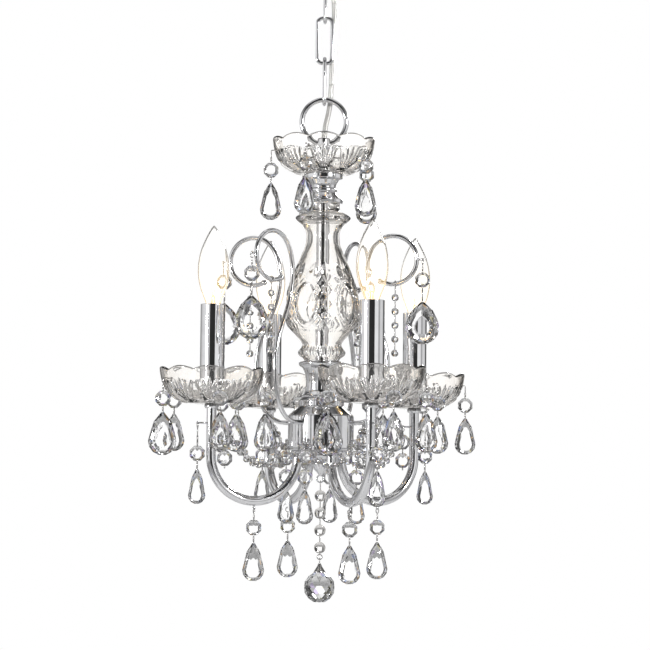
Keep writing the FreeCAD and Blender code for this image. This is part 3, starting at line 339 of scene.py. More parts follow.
# %% From a grid to points and faces
def net(grid, wrap_rows=False):
    """Points and faces of a (rows, columns, 3) grid whose columns close on themselves."""
    rows, columns = grid.shape[:2]
    number = np.arange(rows * columns).reshape(rows, columns)
    pole = np.ptp(grid, axis=1).max(axis=1) < 1e-9
    number[pole] = number[pole][:, :1]
    row = np.arange(rows if wrap_rows else rows - 1)[:, None]
    column = np.arange(columns)[None, :]
    after, beside = (row + 1) % rows, (column + 1) % columns
    quads = np.stack([number[row, column], number[row, beside], number[after, beside],
                      number[after, column]], -1).reshape(-1, 4)
    from_pole, to_pole = quads[:, 0] == quads[:, 1], quads[:, 2] == quads[:, 3]
    faces = [quads[~(from_pole | to_pole)], quads[from_pole & ~to_pole][:, [0, 2, 3]],
             quads[to_pole & ~from_pole][:, :3]]
    used = np.unique(np.concatenate([part.ravel() for part in faces]))
    renumber = np.zeros(rows * columns, int)
    renumber[used] = np.arange(len(used))
    return grid.reshape(-1, 3)[used], [renumber[part] for part in faces]


def turned(profile, sides=96, centre=(0.0, 0.0)):
    """Turned solid: the closed outline of (r, z) points goes to (r cos a, r sin a, z)."""
    profile = np.asarray(profile, float)
    angle = np.linspace(0, 2 * math.pi, sides, endpoint=False)
    radius, height = profile[:, :1], profile[:, 1:]
    grid = np.stack([radius * np.cos(angle) + centre[0], radius * np.sin(angle) + centre[1],
                     height + 0 * angle], -1)
    return net(grid, wrap_rows=True)


def flowing(points, steps=8):
    """Catmull-Rom curve: cubic spans whose end slopes follow each point's neighbours."""
    points = np.asarray(points, float)
    ends = np.vstack([2 * points[0] - points[1], points, 2 * points[-1] - points[-2]])
    a, b, c, d = (ends[i:len(ends) - 3 + i, None] for i in range(4))
    t = np.linspace(0, 1, steps, endpoint=False)[None, :, None]
    curve = 0.5 * (2 * b + (c - a) * t + (2 * a - 5 * b + 4 * c - d) * t ** 2
                   + (3 * b - a - 3 * c + d) * t ** 3)
    return np.vstack([curve.reshape(-1, points.shape[1]), points[-1:]])


def eased(profile, edge=0.5, step=1.2):
    """Closed outline with its corners rounded by a parabola and its runs cut short.

    A corner P with unit directions u and v towards its neighbours becomes the curve
    (1-t)^2 (P+eu) + 2t(1-t) P + t^2 (P+ev), where e is the edge or 0.45 of the run.
    """
    profile = np.asarray(profile, float)
    back, ahead = np.roll(profile, 1, 0) - profile, np.roll(profile, -1, 0) - profile
    back_run = np.linalg.norm(back, axis=1, keepdims=True)
    ahead_run = np.linalg.norm(ahead, axis=1, keepdims=True)
    start = profile + back * np.minimum(edge / back_run, 0.45)
    end = profile + ahead * np.minimum(edge / ahead_run, 0.45)
    on_axis = profile[:, 0] < 1e-6
    start[on_axis] = end[on_axis] = profile[on_axis]
    t = np.linspace(0, 1, 5)[None, :, None]
    arcs = ((1 - t) ** 2 * start[:, None] + 2 * t * (1 - t) * profile[:, None]
            + t ** 2 * end[:, None])
    outline = []
    for index, arc in enumerate(arcs):
        following = arcs[(index + 1) % len(arcs)][0]
        outline.append(arc if not on_axis[index] else arc[:1])
        count = int(np.linalg.norm(following - arc[-1]) // step)
        share = np.linspace(0, 1, count + 2)[1:-1, None]
        if count and not (on_axis[index] and on_axis[(index + 1) % len(arcs)]):
            outline.append(arc[-1] + (following - arc[-1]) * share)
    return np.vstack(outline)


def drawn(path, radius, side, sides=20, closed=False):
    """Bar along a path: each ring is P + r (cos a S + sin a T x S), T being the run's way.

    S is the given side made square to T. An open bar's ends are closed with a small edge.
    """
    path = np.asarray(path, float)
    ahead = np.roll(path, -1, 0) - np.roll(path, 1, 0) if closed else np.gradient(path, axis=0)
    ahead /= np.linalg.norm(ahead, axis=1, keepdims=True)
    radius = np.broadcast_to(np.asarray(radius, float), len(path)).copy()
    if not closed:
        nib = 0.25 * min(radius[0], radius[-1])
        inner = [path[:1] + ahead[:1] * nib, path[1:-1], path[-1:] - ahead[-1:] * nib]
        path = np.vstack([path[:1], path[:1]] + inner + [path[-1:], path[-1:]])
        ahead = np.vstack([ahead[:1], ahead[:1], ahead, ahead[-1:], ahead[-1:]])
        radius = np.concatenate([[0.0, 0.75 * radius[0]], radius, [0.75 * radius[-1], 0.0]])
    across = np.asarray(side, float) - ahead * (ahead @ np.asarray(side, float))[:, None]
    across /= np.linalg.norm(across, axis=1, keepdims=True)
    other = np.cross(ahead, across)
    angle = np.linspace(0, 2 * math.pi, sides, endpoint=False)[None, :, None]
    ring = np.cos(angle) * across[:, None] + np.sin(angle) * other[:, None]
    return net(path[:, None] + radius[:, None, None] * ring, wrap_rows=closed)


def loop(centre, radius, wire, axis, steps=28, sides=10):
    """Ring of wire round an axis."""
    axis = np.asarray(axis, float) / np.linalg.norm(axis)
    first = np.cross(axis, (0, 0, 1.0) if abs(axis[2]) < 0.9 else (1.0, 0, 0))
    first /= np.linalg.norm(first)
    second = np.cross(axis, first)
    angle = np.linspace(0, 2 * math.pi, steps, endpoint=False)[:, None]
    path = np.asarray(centre) + radius * (np.cos(angle) * first + np.sin(angle) * second)
    return drawn(path, wire, axis, sides, closed=True)


def rod(start, end, radius, sides=10):
    """Straight piece of wire."""
    share = np.linspace(0, 1, 3)[:, None]
    path = np.asarray(start, float) * (1 - share) + np.asarray(end, float) * share
    along = path[-1] - path[0]
    side = (1.0, 0, 0) if abs(along[0]) < 0.8 * np.linalg.norm(along) else (0, 0, 1.0)
    return drawn(path, radius, side, sides)


def ball(centre, radius, rows=14, sides=24):
    """Sphere with poles above and below: r sin b, r cos b round the centre."""
    lift = np.linspace(0, math.pi, rows)
    profile = np.stack([radius * np.sin(lift), centre[2] + radius * np.cos(lift)], -1)
    profile[[0, -1], 0] = 0.0
    return turned(profile, sides, centre[:2])


# %% [markdown]
# A bench collects surfaces and makes one object of them. It measures the volume that
# a closed surface holds: when that comes out negative the faces look inwards, and the
# bench turns them over.

# %% The bench
class Bench:
    """Surfaces that become one piece, each with its finish, smooth or flat shading, and a number per
    face for painted fire and shade.
    """

    def __init__(self):
        self.points, self.corners, self.sizes = [], [], []
        self.smooth, self.finish, self.glint = [], [], []
        self.count = 0

    def add(self, surface, finish=0, smooth=True, glint=None):
        points, faces = surface
        local = points - points.mean(axis=0)
        volume = 0.0
        for part in faces:
            for second in range(1, part.shape[1] - 1):
                cross = np.cross(local[part[:, second]], local[part[:, second + 1]])
                volume += np.einsum("ij,ij->", local[part[:, 0]], cross)
        for part in faces:
            part = part[:, ::-1] if volume < 0 else part
            self.corners.append((part + self.count).ravel())
            self.sizes.append(np.full(len(part), part.shape[1]))
            self.smooth.append(np.full(len(part), smooth))
            self.finish.append(np.full(len(part), finish))
            self.glint.append(np.zeros(len(part)) if glint is None else glint)
        self.points.append(points)
        self.count += len(points)

    def make(self, name, body, finishes, nodes=()):
        """One object from all the surfaces, riding on a body in place of the nodes."""
        mesh = bpy.data.meshes.new(name)
        sizes = np.concatenate(self.sizes)
        corners = np.concatenate(self.corners)
        mesh.vertices.add(self.count)
        mesh.vertices.foreach_set("co", (np.concatenate(self.points) * MM).ravel())
        mesh.loops.add(len(corners))
        mesh.loops.foreach_set("vertex_index", corners.astype(np.int32))
        mesh.polygons.add(len(sizes))
        mesh.polygons.foreach_set("loop_start", (np.cumsum(sizes) - sizes).astype(np.int32))
        mesh.polygons.foreach_set("material_index", np.concatenate(self.finish).astype(np.int32))
        mesh.polygons.foreach_set("use_smooth", np.concatenate(self.smooth))
        for finish in finishes:
            mesh.materials.append(finish)
        glint = mesh.attributes.new("glint", "FLOAT", "FACE")
        glint.data.foreach_set("value", np.concatenate(self.glint).astype(np.float32))
        mesh.update(calc_edges=True)
        piece = bpy.data.objects.new(name, mesh)
        bpy.context.scene.collection.objects.link(piece)
        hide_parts(*nodes)
        if body:
            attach(piece, body)
        return piece


# %% [markdown]
# ## The lamp cord
# A clear two-core cord comes out of the ceiling nipple, hangs behind the chain and goes
# in at the stem. Its line is one smooth spline. The chain bends at four places, and a
# piece can bend at only one, so the cord is four lengths that meet where nothing bends.

# %% Cord
CORD_POINTS = [
    (0.0, 0.0, -14.0), (0.0, 0.0, -36.5), (6.4, 6.9, -51.0), (9.2, 7.4, -76.0),
    (8.9, 6.7, -102.0), (7.3, 7.1, -128.0), (6.7, 6.3, -154.0), (5.7, 6.6, -179.0),
    (0.0, 0.0, -202.0), (0.0, 0.0, -220.0),
]
CORD_RADIUS = 2.5
CHAIN_BODIES = ["ceiling", "link_1", "link_2", "link_3", "fixture"]
CHAIN_JOINTS = ["chain_swing_1", "chain_swing_2", "chain_swing_3", "fixture_swing"]


def spline_line(points):
    """Points along the smooth spline with these control points."""
    curve = bpy.data.curves.new("route", "CURVE")
    curve.dimensions = "3D"
    curve.resolution_u = 24
    spline = curve.splines.new("NURBS")
    spline.points.add(len(points) - 1)
    for control, point in zip(spline.points, points):
        control.co = (*(c * MM for c in point), 1.0)
    spline.order_u = 3
    spline.use_endpoint_u = True
    holder = bpy.data.objects.new("route", curve)
    mesh = bpy.data.meshes.new_from_object(holder)
    line = np.array([vertex.co for vertex in mesh.vertices], float) / MM
    bpy.data.meshes.remove(mesh)
    bpy.data.objects.remove(holder)
    bpy.data.curves.remove(curve)
    return line


def cord_length(line, name):
    """Length of cord: a round section of radius R on its line."""
    points, faces = drawn(line, CORD_RADIUS, (1.0, 0.0, 0.0), 24)
    bench = Bench()
    bench.add((points, faces))
    piece = bench.make(name, None, [VINYL], ["supply_cord"])
    along = piece.data.uv_layers.new(name="along")
    corner = np.zeros(len(piece.data.loops), np.int32)
    piece.data.loops.foreach_get("vertex_index", corner)
    place = points[corner]
    turn = np.arctan2(place[:, 1] - np.interp(place[:, 2], line[::-1, 2], line[::-1, 1]),
                      place[:, 0] - np.interp(place[:, 2], line[::-1, 2], line[::-1, 0]))
    along.data.foreach_set("uv", np.stack([np.abs(turn) / math.pi, -place[:, 2] / 10.0],
                                          -1).astype(np.float32).ravel())
    return piece


cord_line = spline_line(CORD_POINTS)
joint_heights = [joint_place[name][2] for name in CHAIN_JOINTS]
cuts = [cord_line[0, 2]]
cuts += [(a + b) / 2 for a, b in zip(joint_heights, joint_heights[1:])] + [cord_line[-1, 2]]
for number, (high, low) in enumerate(zip(cuts, cuts[1:])):
    fine = np.linspace(high, low, 40)
    stretch = np.stack([np.interp(-fine, -cord_line[:, 2], cord_line[:, axis])
                        for axis in range(3)], -1)
    piece = cord_length(stretch, "cord_%d" % (number + 1))
    bend = joint_heights[number]
    CHAIN_BODIES[number + 1]
    (bend + 11.0) * MM
    (bend - 11.0) * MM
    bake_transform(piece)


# %% [markdown]
# ## Ceiling fittings and chain
# The canopy is a spun cup. The loops and links are round bar, so each is a circle
# carried along its centre line: a ring, or a rectangle with round corners.

# %% Canopy, loop and chain
def outline_piece(name, profile, nodes, edge=0.6, sides=96, finish=CHROME,
                  body="fixture"):
    """Turned piece on the stem from a closed outline of (radius, z) points."""
    bench = Bench()
    bench.add(turned(eased(profile, edge), sides))
    return bench.make(name, body, [finish], nodes)


CANOPY_RIM = 63.5
CANOPY_LOW = bottom("canopy")
canopy_outer = flowing([(CANOPY_RIM, 0), (CANOPY_RIM, -3), (58.8, -6.5), (47.5, -14.5),
                        (30.5, -20), (22.5, CANOPY_LOW)], 6)
canopy_inner = canopy_outer[::-1] * (0.975, 1.0) + (0.0, 1.2)
canopy_inner = canopy_inner[canopy_inner[:, 1] < 0.0]
outline_piece("ceiling_canopy", np.vstack([canopy_outer, [(4.8, CANOPY_LOW), (4.8, CANOPY_LOW + 1.2)],
                                           canopy_inner, [(62.3, 0.0)]]),
              ["canopy"], edge=0.3, sides=128, body="ceiling")

LOOP_RING = (12.0, 2.1)
loop_middle = bottom("canopy_loop") + sum(LOOP_RING)
bench = Bench()
bench.add(turned(eased([(3.1, -31.9), (7.5, -31.9), (10, -29), (10, -22), (3.1, -22)], 0.6), 64))
bench.add(loop((0, 0, loop_middle), *LOOP_RING, axis=(0, 1, 0), steps=72, sides=20))
bench.make("ceiling_loop", "ceiling", [CHROME], ["canopy_loop"])


def link_path(half_width, half_length, corner, side):
    """Rectangle with round corners: each corner's centre plus a quarter circle."""
    quarter = np.linspace(0, math.pi / 2, 10)
    places = []
    for turn, (x, z) in enumerate([(1, 1), (-1, 1), (-1, -1), (1, -1)]):
        angle = quarter + turn * math.pi / 2
        places.append(np.stack([x * (half_width - corner) + corner * np.cos(angle),
                                z * (half_length - corner) + corner * np.sin(angle)], -1))
    flat = np.vstack(places)
    across = np.array([1.0, 0, 0]) if side else np.array([0, 1.0, 0])
    return flat[:, :1] * across + flat[:, 1:] * np.array([0, 0, 1.0])


LINK_BAR = 1.85
for number in (1, 2, 3):
    node = "chain_link_%d" % number
    middle = (top(node) + bottom(node)) / 2
    half = (top(node) - bottom(node)) / 2 - LINK_BAR
    path = link_path(7.25, half, 5.0, number % 2 == 0) + (0, 0, middle)
    axis = (0, 1.0, 0) if number % 2 == 0 else (1.0, 0, 0)
    bench = Bench()
    bench.add(drawn(path, LINK_BAR, axis, 18, closed=True))
    bench.make("link_%d_bar" % number, "link_%d" % number, [CHROME], [node])

bench = Bench()
ring_middle = top("top_loop") - 24.25
bench.add(loop((0, 0, ring_middle), 21.8, 2.45, (0, 1, 0), 96, 20))
stem_top = ring_middle - 16.9
bench.add(turned(eased([(3.1, stem_top), (6.3, stem_top), (6.3, stem_top - 9), (3.1, stem_top - 9)],
                       0.8), 64))
bench.make("top_ring", "fixture", [CHROME], ["top_loop"])
print("chain and ring made")

# %% [markdown]
# ## Turned metal on the stem
# Coupling, spool, collar, hub, cap and finial were all turned or spun, so each is one
# outline. A bright edge is what shows that metal was machined, so every corner is eased
# by half a millimetre and catches light.

# %% Stem, hub and finial
BORE = 4.8
high, low = top("stem_coupling"), bottom("stem_coupling")
outline_piece("coupling", [(BORE, low), (10.8, low), (10.8, low + 2), (7.1, low + 5), (6.3, low + 9),
                           (6.3, high), (BORE, high)], ["stem_coupling"])
high, low = top("spool_neck"), bottom("spool_neck")
outline_piece("spool", [
    (BORE, high), (18.8, high), (18.8, high - 5.2), (15.3, high - 6.0), (12.4, high - 10.7),
    (11.8, low + 15.3), (13.4, low + 14.5), (13.4, low + 12.1), (12.2, low + 11.1),
    (15.2, low + 6.8), (16.8, low + 5.2), (19.6, low + 3.8), (18.8, low), (BORE, low)],
    ["spool_neck"], edge=0.7)
high, low = top("centre_tube"), bottom("centre_tube")
outline_piece("stem_tube", [(5.1, low), (6.3, low), (6.3, high), (5.1, high)], ["centre_tube"], 0.3)
high, low = top("hub_collar"), bottom("hub_collar")
outline_piece("collar", [
    (BORE, high), (21.3, high), (22.8, high - 1.5), (21.8, high - 4), (18.2, high - 6.5),
    (16, high - 12), (15.2, high - 20), (16, low + 6), (19, low + 2), (19.5, low), (BORE, low)],
    ["hub_collar"], edge=1.0)
high, low = top("hub_shell"), bottom("hub_shell")
shoulder = high - 14.6
HUB_STRING_ANGLES = [-16.5, 75.5, 158.0, -114.0]
HUB_EYE_RADIUS = 36.3
hub = Bench()
hub_outline = [
    (BORE, high), (19.3, high), (22.3, high - 3), (22.3, shoulder + 6), (32, shoulder - 3),
    (32, low), (30.4, low), (30.4, shoulder - 3.6), (20.7, shoulder + 5.4), (20.7, high - 3.4),
    (18.9, high - 2.4), (BORE, high - 2.4)]
hub.add(turned(eased(hub_outline, 1.0), 128))
for angle in HUB_STRING_ANGLES:
    hub_eye = polar(HUB_EYE_RADIUS, angle, low + 8.0)
    hub.add(loop(hub_eye, 1.15, 0.45, polar(1, angle + 90), 20, 8))
    hub.add(rod(polar(31.5, angle, low + 8.0), hub_eye - polar(1.1, angle), 0.9))
hub.make("hub", "fixture", [CHROME], ["hub_shell"])
high, low = top("hub_cap"), bottom("hub_cap")
outline_piece("cap", [(BORE, low), (32, low), (32, high), (BORE, high)], ["hub_cap"], 0.8, 128)
bench = Bench()
FINIAL_HIGH = top("bottom_finial")
FINIAL_EYE = joint_place["bead_string_swing"][2] + 3.4
bench.add(turned(eased([(0, FINIAL_HIGH - 0.4), (9.4, FINIAL_HIGH - 0.4), (10, FINIAL_HIGH - 5),
                        (7, FINIAL_HIGH - 8), (9, FINIAL_HIGH - 13), (6.5, FINIAL_HIGH - 18),
                        (2, FINIAL_HIGH - 23), (1.2, FINIAL_EYE + 2.9), (0, FINIAL_EYE + 2.9)],
                       0.9), 64))
bench.add(loop((0, 0, FINIAL_EYE), 3.4, 0.75, (0, 1, 0)))
bench.make("finial", "fixture", [CHROME], ["bottom_finial"])
print("stem and hub made")

# %% [markdown]
# ## The glass baluster
# A moulded glass body, thick in the foot and thin in the neck. Its belly is cut: five
# pointed ovals scooped out like thumb prints, between them columns of crossed grooves
# that make diamonds and stars, a row of short leaves above, and ribs round the foot.
# All of it is real relief on the outer wall, because glass shows every slope.

# %% Baluster
BODY_PROFILE = np.array([
    (0.0, 16.3), (7.6, 16.5), (9.3, 21.5), (13.1, 26.9), (16.5, 25.6), (20.3, 20.9),
    (23.7, 18.4), (28.6, 16.5), (33.0, 16.3), (40.2, 17.1), (47.0, 19.6), (54.8, 22.9),
    (60.6, 25.5), (68.0, 28.4), (79.0, 32.5), (89.0, 35.2), (101.3, 36.1), (112.0, 35.7),
    (118.8, 34.6), (123.5, 31.0), (129.5, 25.2), (135.5, 20.2), (139.0, 19.3),
    (142.5, 21.2), (145.6, 23.3), (149.0, 21.8), (151.8, 18.0), (154.7, 16.5)])
BODY_WALL = 4.2
OVALS = 5
OVAL_START = -118.0
OVAL_PLACE, OVAL_HALF_HEIGHT, OVAL_HALF_WIDTH = 99.5, 21.5, 12.5
LEAF_PLACE, DIAMOND_PITCH = 67.0, 13.5
STAR_PLACE = 121.0


def groove(distance, half_width):
    """V-shaped cut: one on its line, falling straight to nothing at its edges."""
    return np.clip(1 - np.abs(distance) / half_width, 0, 1)


def baluster_cuts(depth, angle):
    """Depth of cut at a depth below the rim and an angle round the body.

    Oval: 1 - (x/w)^2 - |y/h|^1.6, cut off flat.
    Diamonds: V grooves on the lines y = +-1.15 x + n p.
    Leaves: V grooves whose width closes at both ends. Ribs: a cosine round the foot.
    """
    sector = 2 * math.pi / OVALS
    turn = (angle - math.radians(OVAL_START) + sector / 2) % sector - sector / 2
    x = turn * 34.0
    y = depth - OVAL_PLACE
    oval = np.clip(1 - (x / OVAL_HALF_WIDTH) ** 2 - np.abs(y / OVAL_HALF_HEIGHT) ** 1.6, 0, 1)
    border = groove((x / OVAL_HALF_WIDTH) ** 2 + np.abs(y / OVAL_HALF_HEIGHT) ** 1.6 - 1.16, 0.14)
    column = np.abs(turn) - sector / 2
    across = column * 34.0
    zone = np.clip((14.5 - np.abs(across) - 0.012 * y ** 2 * 0.3) / 2.0, 0, 1)
    zone = zone * np.clip((depth - 70) / 4, 0, 1) * np.clip((126 - depth) / 3, 0, 1)
    down = depth - STAR_PLACE
    crossed = np.zeros_like(depth)
    for slope in (1.15, -1.15):
        line = (down + slope * across + DIAMOND_PITCH / 2) % DIAMOND_PITCH - DIAMOND_PITCH / 2
        crossed = np.maximum(crossed, groove(line, 2.3))
    crossed = np.maximum(crossed, 0.8 * groove(across, 1.6))
    star = groove(np.hypot(across, down * 0.9) - 6.0, 1.6)
    leaf_turn = (angle * 15 / (2 * math.pi)) % 1.0 - 0.5
    leaf_y = (depth - LEAF_PLACE) / 7.5
    leaf = np.clip(1 - np.abs(leaf_turn) / 0.42 - leaf_y ** 2, 0, 1)
    ribs = (0.5 + 0.5 * np.cos(28 * angle)) * np.clip(1 - ((depth - 145.5) / 6.0) ** 2, 0, 1)
    return (1.9 * np.clip(3.2 * oval, 0, 1) + 0.5 * border
            + zone * np.maximum(0.8 * crossed, 1.1 * star) + 1.3 * leaf + 0.7 * ribs)


def baluster():
    columns = 300
    angle = np.linspace(-math.pi, math.pi, columns, endpoint=False)[None, :]
    outer = flowing(BODY_PROFILE, 3)
    depth = np.interp(np.linspace(0, 1, 200), np.linspace(0, 1, len(outer)), outer[:, 0])
    radius = np.interp(depth, outer[:, 0], outer[:, 1])
    wall = radius[:, None] - baluster_cuts(depth[:, None], angle)
    lining_depth = np.linspace(154.7, 0, 50)
    lining = np.maximum(np.interp(lining_depth, outer[:, 0], outer[:, 1]) - BODY_WALL, 7.4)
    r = np.vstack([wall, np.repeat(lining[:, None], columns, 1)])
    z = BODY_TOP - np.concatenate([depth, lining_depth])[:, None]
    bench = Bench()
    bench.add(net(np.stack([r * np.cos(angle), r * np.sin(angle), z + 0 * angle], -1), True))
    return bench.make("glass_baluster", "fixture", [GLASS], ["glass_body"])


baluster()
print("baluster made")

# %% [markdown]
# ## Scalloped glass dishes
# Five equal dishes. Their rims rise and fall in ten lobes that meet in cusps, and each
# lobe's outside is cut with a fan of five long leaves that spread from one point low on
# the wall, with a short cross cut between neighbouring fans.

# %% Dishes
DISH_OUTER = flowing([(22.0, 0.0), (29.0, 1.1), (36.0, 4.5), (42.4, 9.6), (47.0, 18.0),
                      (49.4, 26.0), (50.4, 33.4)], 10)
DISH_INNER = flowing([(47.6, 33.4), (46.4, 26.0), (44.2, 18.8), (39.9, 11.0), (34.0, 6.8),
                      (28.0, 4.1), (21.0, 3.0)], 4)
LOBES = 10
FAN_SPREAD = (-0.86, -0.44, 0.0, 0.44, 0.86)


def dish_cuts(share, lobe):
    """Depth of cut at a share of the way up the wall; lobe runs from -1 to 1 over a lobe.

    A fan's leaf k follows lobe = k s with s the share above the fan's foot, and its
    half width is a lens, 0.2 sin(pi s)^0.6, so it is pointed at both ends. The top of
    the wall is left plain.
    """
    rise = np.clip((share - 0.14) / 0.6, 0, 1)
    lens = 0.001 + 0.2 * np.sin(math.pi * rise) ** 0.6
    depth = np.zeros(np.broadcast(share, lobe).shape)
    for spread in FAN_SPREAD:
        depth = np.maximum(depth, groove(lobe - spread * (0.2 + 0.8 * rise), lens))
    foot = groove(np.hypot(lobe * 6.0, (share - 0.14) * 40.0) - 3.2, 1.3)
    cross = groove(np.hypot((np.abs(lobe) - 1) * 7.0, (share - 0.62) * 34.0) - 3.0, 1.4)
    inside = np.clip((share - 0.04) / 0.05, 0, 1) * np.clip((0.78 - share) / 0.04, 0, 1)
    return inside * (1.7 * depth + 0.8 * foot + 1.0 * cross)


def dish(name, node, centre, base, bore):
    """Dish about a centre: wall rings from the floor up, over the lip and down inside."""
    columns = 360
    angle = np.linspace(0, 2 * math.pi, columns, endpoint=False)[None, :]
    lobe = ((angle * LOBES / (2 * math.pi)) % 1.0) * 2 - 1
    crown = np.cos(lobe * math.pi / 2) ** 0.85
    share = np.linspace(0, 1, len(DISH_OUTER))[:, None]
    normal = np.gradient(DISH_OUTER, axis=0)[:, ::-1] * (1, -1)
    normal /= np.linalg.norm(normal, axis=1, keepdims=True)
    cut = dish_cuts(share, lobe)
    outer_r = DISH_OUTER[:, :1] - normal[:, :1] * cut
    outer_z = DISH_OUTER[:, 1:] - normal[:, 1:] * cut
    lip = np.array([(50.2, 34.3), (49.0, 34.9), (47.9, 34.3)])
    plain = np.vstack([lip, DISH_INNER, [(bore, 3.0), (bore, 0.0)]])
    r = np.vstack([outer_r, np.repeat(plain[:, :1], columns, 1)])
    z = np.vstack([outer_z, np.repeat(plain[:, 1:], columns, 1)])
    height = np.clip(z / 34.0, 0, 1)
    z = z - 3.4 * (1 - crown) * height ** 3
    r = r + 1.1 * (crown - 0.6) * height ** 2
    grid = np.stack([r * np.cos(angle) + centre[0], r * np.sin(angle) + centre[1], z + base], -1)
    bench = Bench()
    bench.add(net(grid, True))
    return bench.make(name, "fixture", [GLASS], [node])


dish("upper_bowl", "upper_dish", (0, 0), bottom("upper_dish"), BORE)
for number, angle in enumerate(ARM_ANGLES, 1):
    dish("arm_bowl_%d" % number, "arm_dish_%d" % number, polar(ARM_REACH, angle),
         DISH_FLOOR - 3.0, BORE)
print("dishes made")


# %% [markdown]
# ## Candle arms
# Each arm is a bent tube: down out of the hub, round half a circle and up to a small
# domed cup. Little eyes are welded on for crystals, below the bend and beside the leg.

# %% Arms, sleeves and sockets
ARM_ROOT, ARM_BEND, ARM_TUBE = 23.3, 43.2, 4.7
ARM_EYE = {number: joint_place["arm_drop_%d_swing" % number] for number in (1, 2, 3, 4)}
BEND_Z = ARM_EYE[1][2] + 2.2 + ARM_TUBE + ARM_BEND
CUP_LOW = DISH_FLOOR - 7.5
LEG_EYE_REACH = 13.5


def upright(flat, angle):
    """Turn a path of (radius, z) points to stand at an angle round the stem."""
    flat = np.asarray(flat, float)
    turn = math.radians(angle)
    return np.stack([flat[:, 0] * math.cos(turn), flat[:, 0] * math.sin(turn), flat[:, 1]], -1)


def eye_on_peg(bench, eye, inward, angle):
    """Small welded eye: a peg and a flat ring whose hole lies across the arm's plane."""
    across = polar(1.0, angle + 90)
    bench.add(loop(eye, 1.15, 0.45, across, 20, 8))
    bench.add(rod(eye + np.asarray(inward) * 4.6, eye + np.asarray(inward) * 1.1, 0.9))


def arm(number, angle):
    half = np.linspace(math.pi, 2 * math.pi, 60)
    middle = ARM_ROOT + ARM_BEND
    bend = np.stack([middle + ARM_BEND * np.cos(half), BEND_Z + ARM_BEND * np.sin(half)], -1)
    inner = [(ARM_ROOT, z) for z in np.linspace(top("hub_cap") + 14, BEND_Z, 12)[:-1]]
    outer = [(ARM_REACH, z) for z in np.linspace(BEND_Z, CUP_LOW + 16.5, 16)[1:]]
    bench = Bench()
    bench.add(drawn(upright(np.vstack([inner, bend, outer]), angle), ARM_TUBE,
                    polar(1.0, angle + 90), 32))
    cup = [(ARM_TUBE, CUP_LOW), (6.0, CUP_LOW), (7.1, CUP_LOW + 1.8), (6.6, CUP_LOW + 4.5),
           (ARM_TUBE, CUP_LOW + 4.5)]
    bench.add(turned(eased(cup, 0.6, 0.8), 48, polar(ARM_REACH, angle)))
    cuff = [(ARM_TUBE, -2.4), (6.4, -2.4), (6.9, -1.2), (6.2, 0.0), (ARM_TUBE, 0.0)]
    cuff = np.array(cuff) + (0, bottom("hub_cap"))
    bench.add(turned(eased(cuff, 0.5, 0.8), 40, polar(ARM_ROOT, angle)))
    eye_on_peg(bench, ARM_EYE[number], (0, 0, 1), angle)
    for way in (1, -1):
        leg_eye = polar(ARM_REACH + way * LEG_EYE_REACH, angle, CUP_LOW - 14.0)
        bench.add(loop(leg_eye, 1.15, 0.45, polar(1, angle + 90), 20, 8))
        bench.add(rod(polar(ARM_REACH + way * 4.2, angle, CUP_LOW - 14),
                      leg_eye - polar(way * 1.1, angle), 0.9))
    return bench.make("candle_arm_%d" % number, "fixture", [CHROME], ["arm_%d" % number])


for number, angle in enumerate(ARM_ANGLES, 1):
    arm(number, angle)
    centre = polar(ARM_REACH, angle)
    bench = Bench()
    bench.add(turned(eased([(11.0, DISH_FLOOR), (11.9, DISH_FLOOR), (11.9, SLEEVE_TOP),
                            (11.0, SLEEVE_TOP)], 0.35), 72, centre))
    bench.make("sleeve_%d" % number, "fixture", [CHROME], ["candle_sleeve_%d" % number])
print("arms made")


# %% [markdown]
# ## Bulbs
# Clear flame-shaped bulbs: blown glass under a millimetre thick, a glass stem that holds
# two wires, and between them the filament. The bulb and its brass base lift out together.

# %% Bulbs
BULB_HEIGHT = 76.0
BULB_WALL = 0.7
BULB_OUTLINE = np.array([
    (6.4, -8.0), (7.0, -3.0), (7.9, 3.0), (10.2, 9.0), (12.8, 16.0), (14.7, 25.0), (15.2, 33.0),
    (14.6, 42.0), (12.8, 51.0), (10.0, 59.0), (6.9, 66.0), (4.0, 71.2), (2.0, 74.0)])


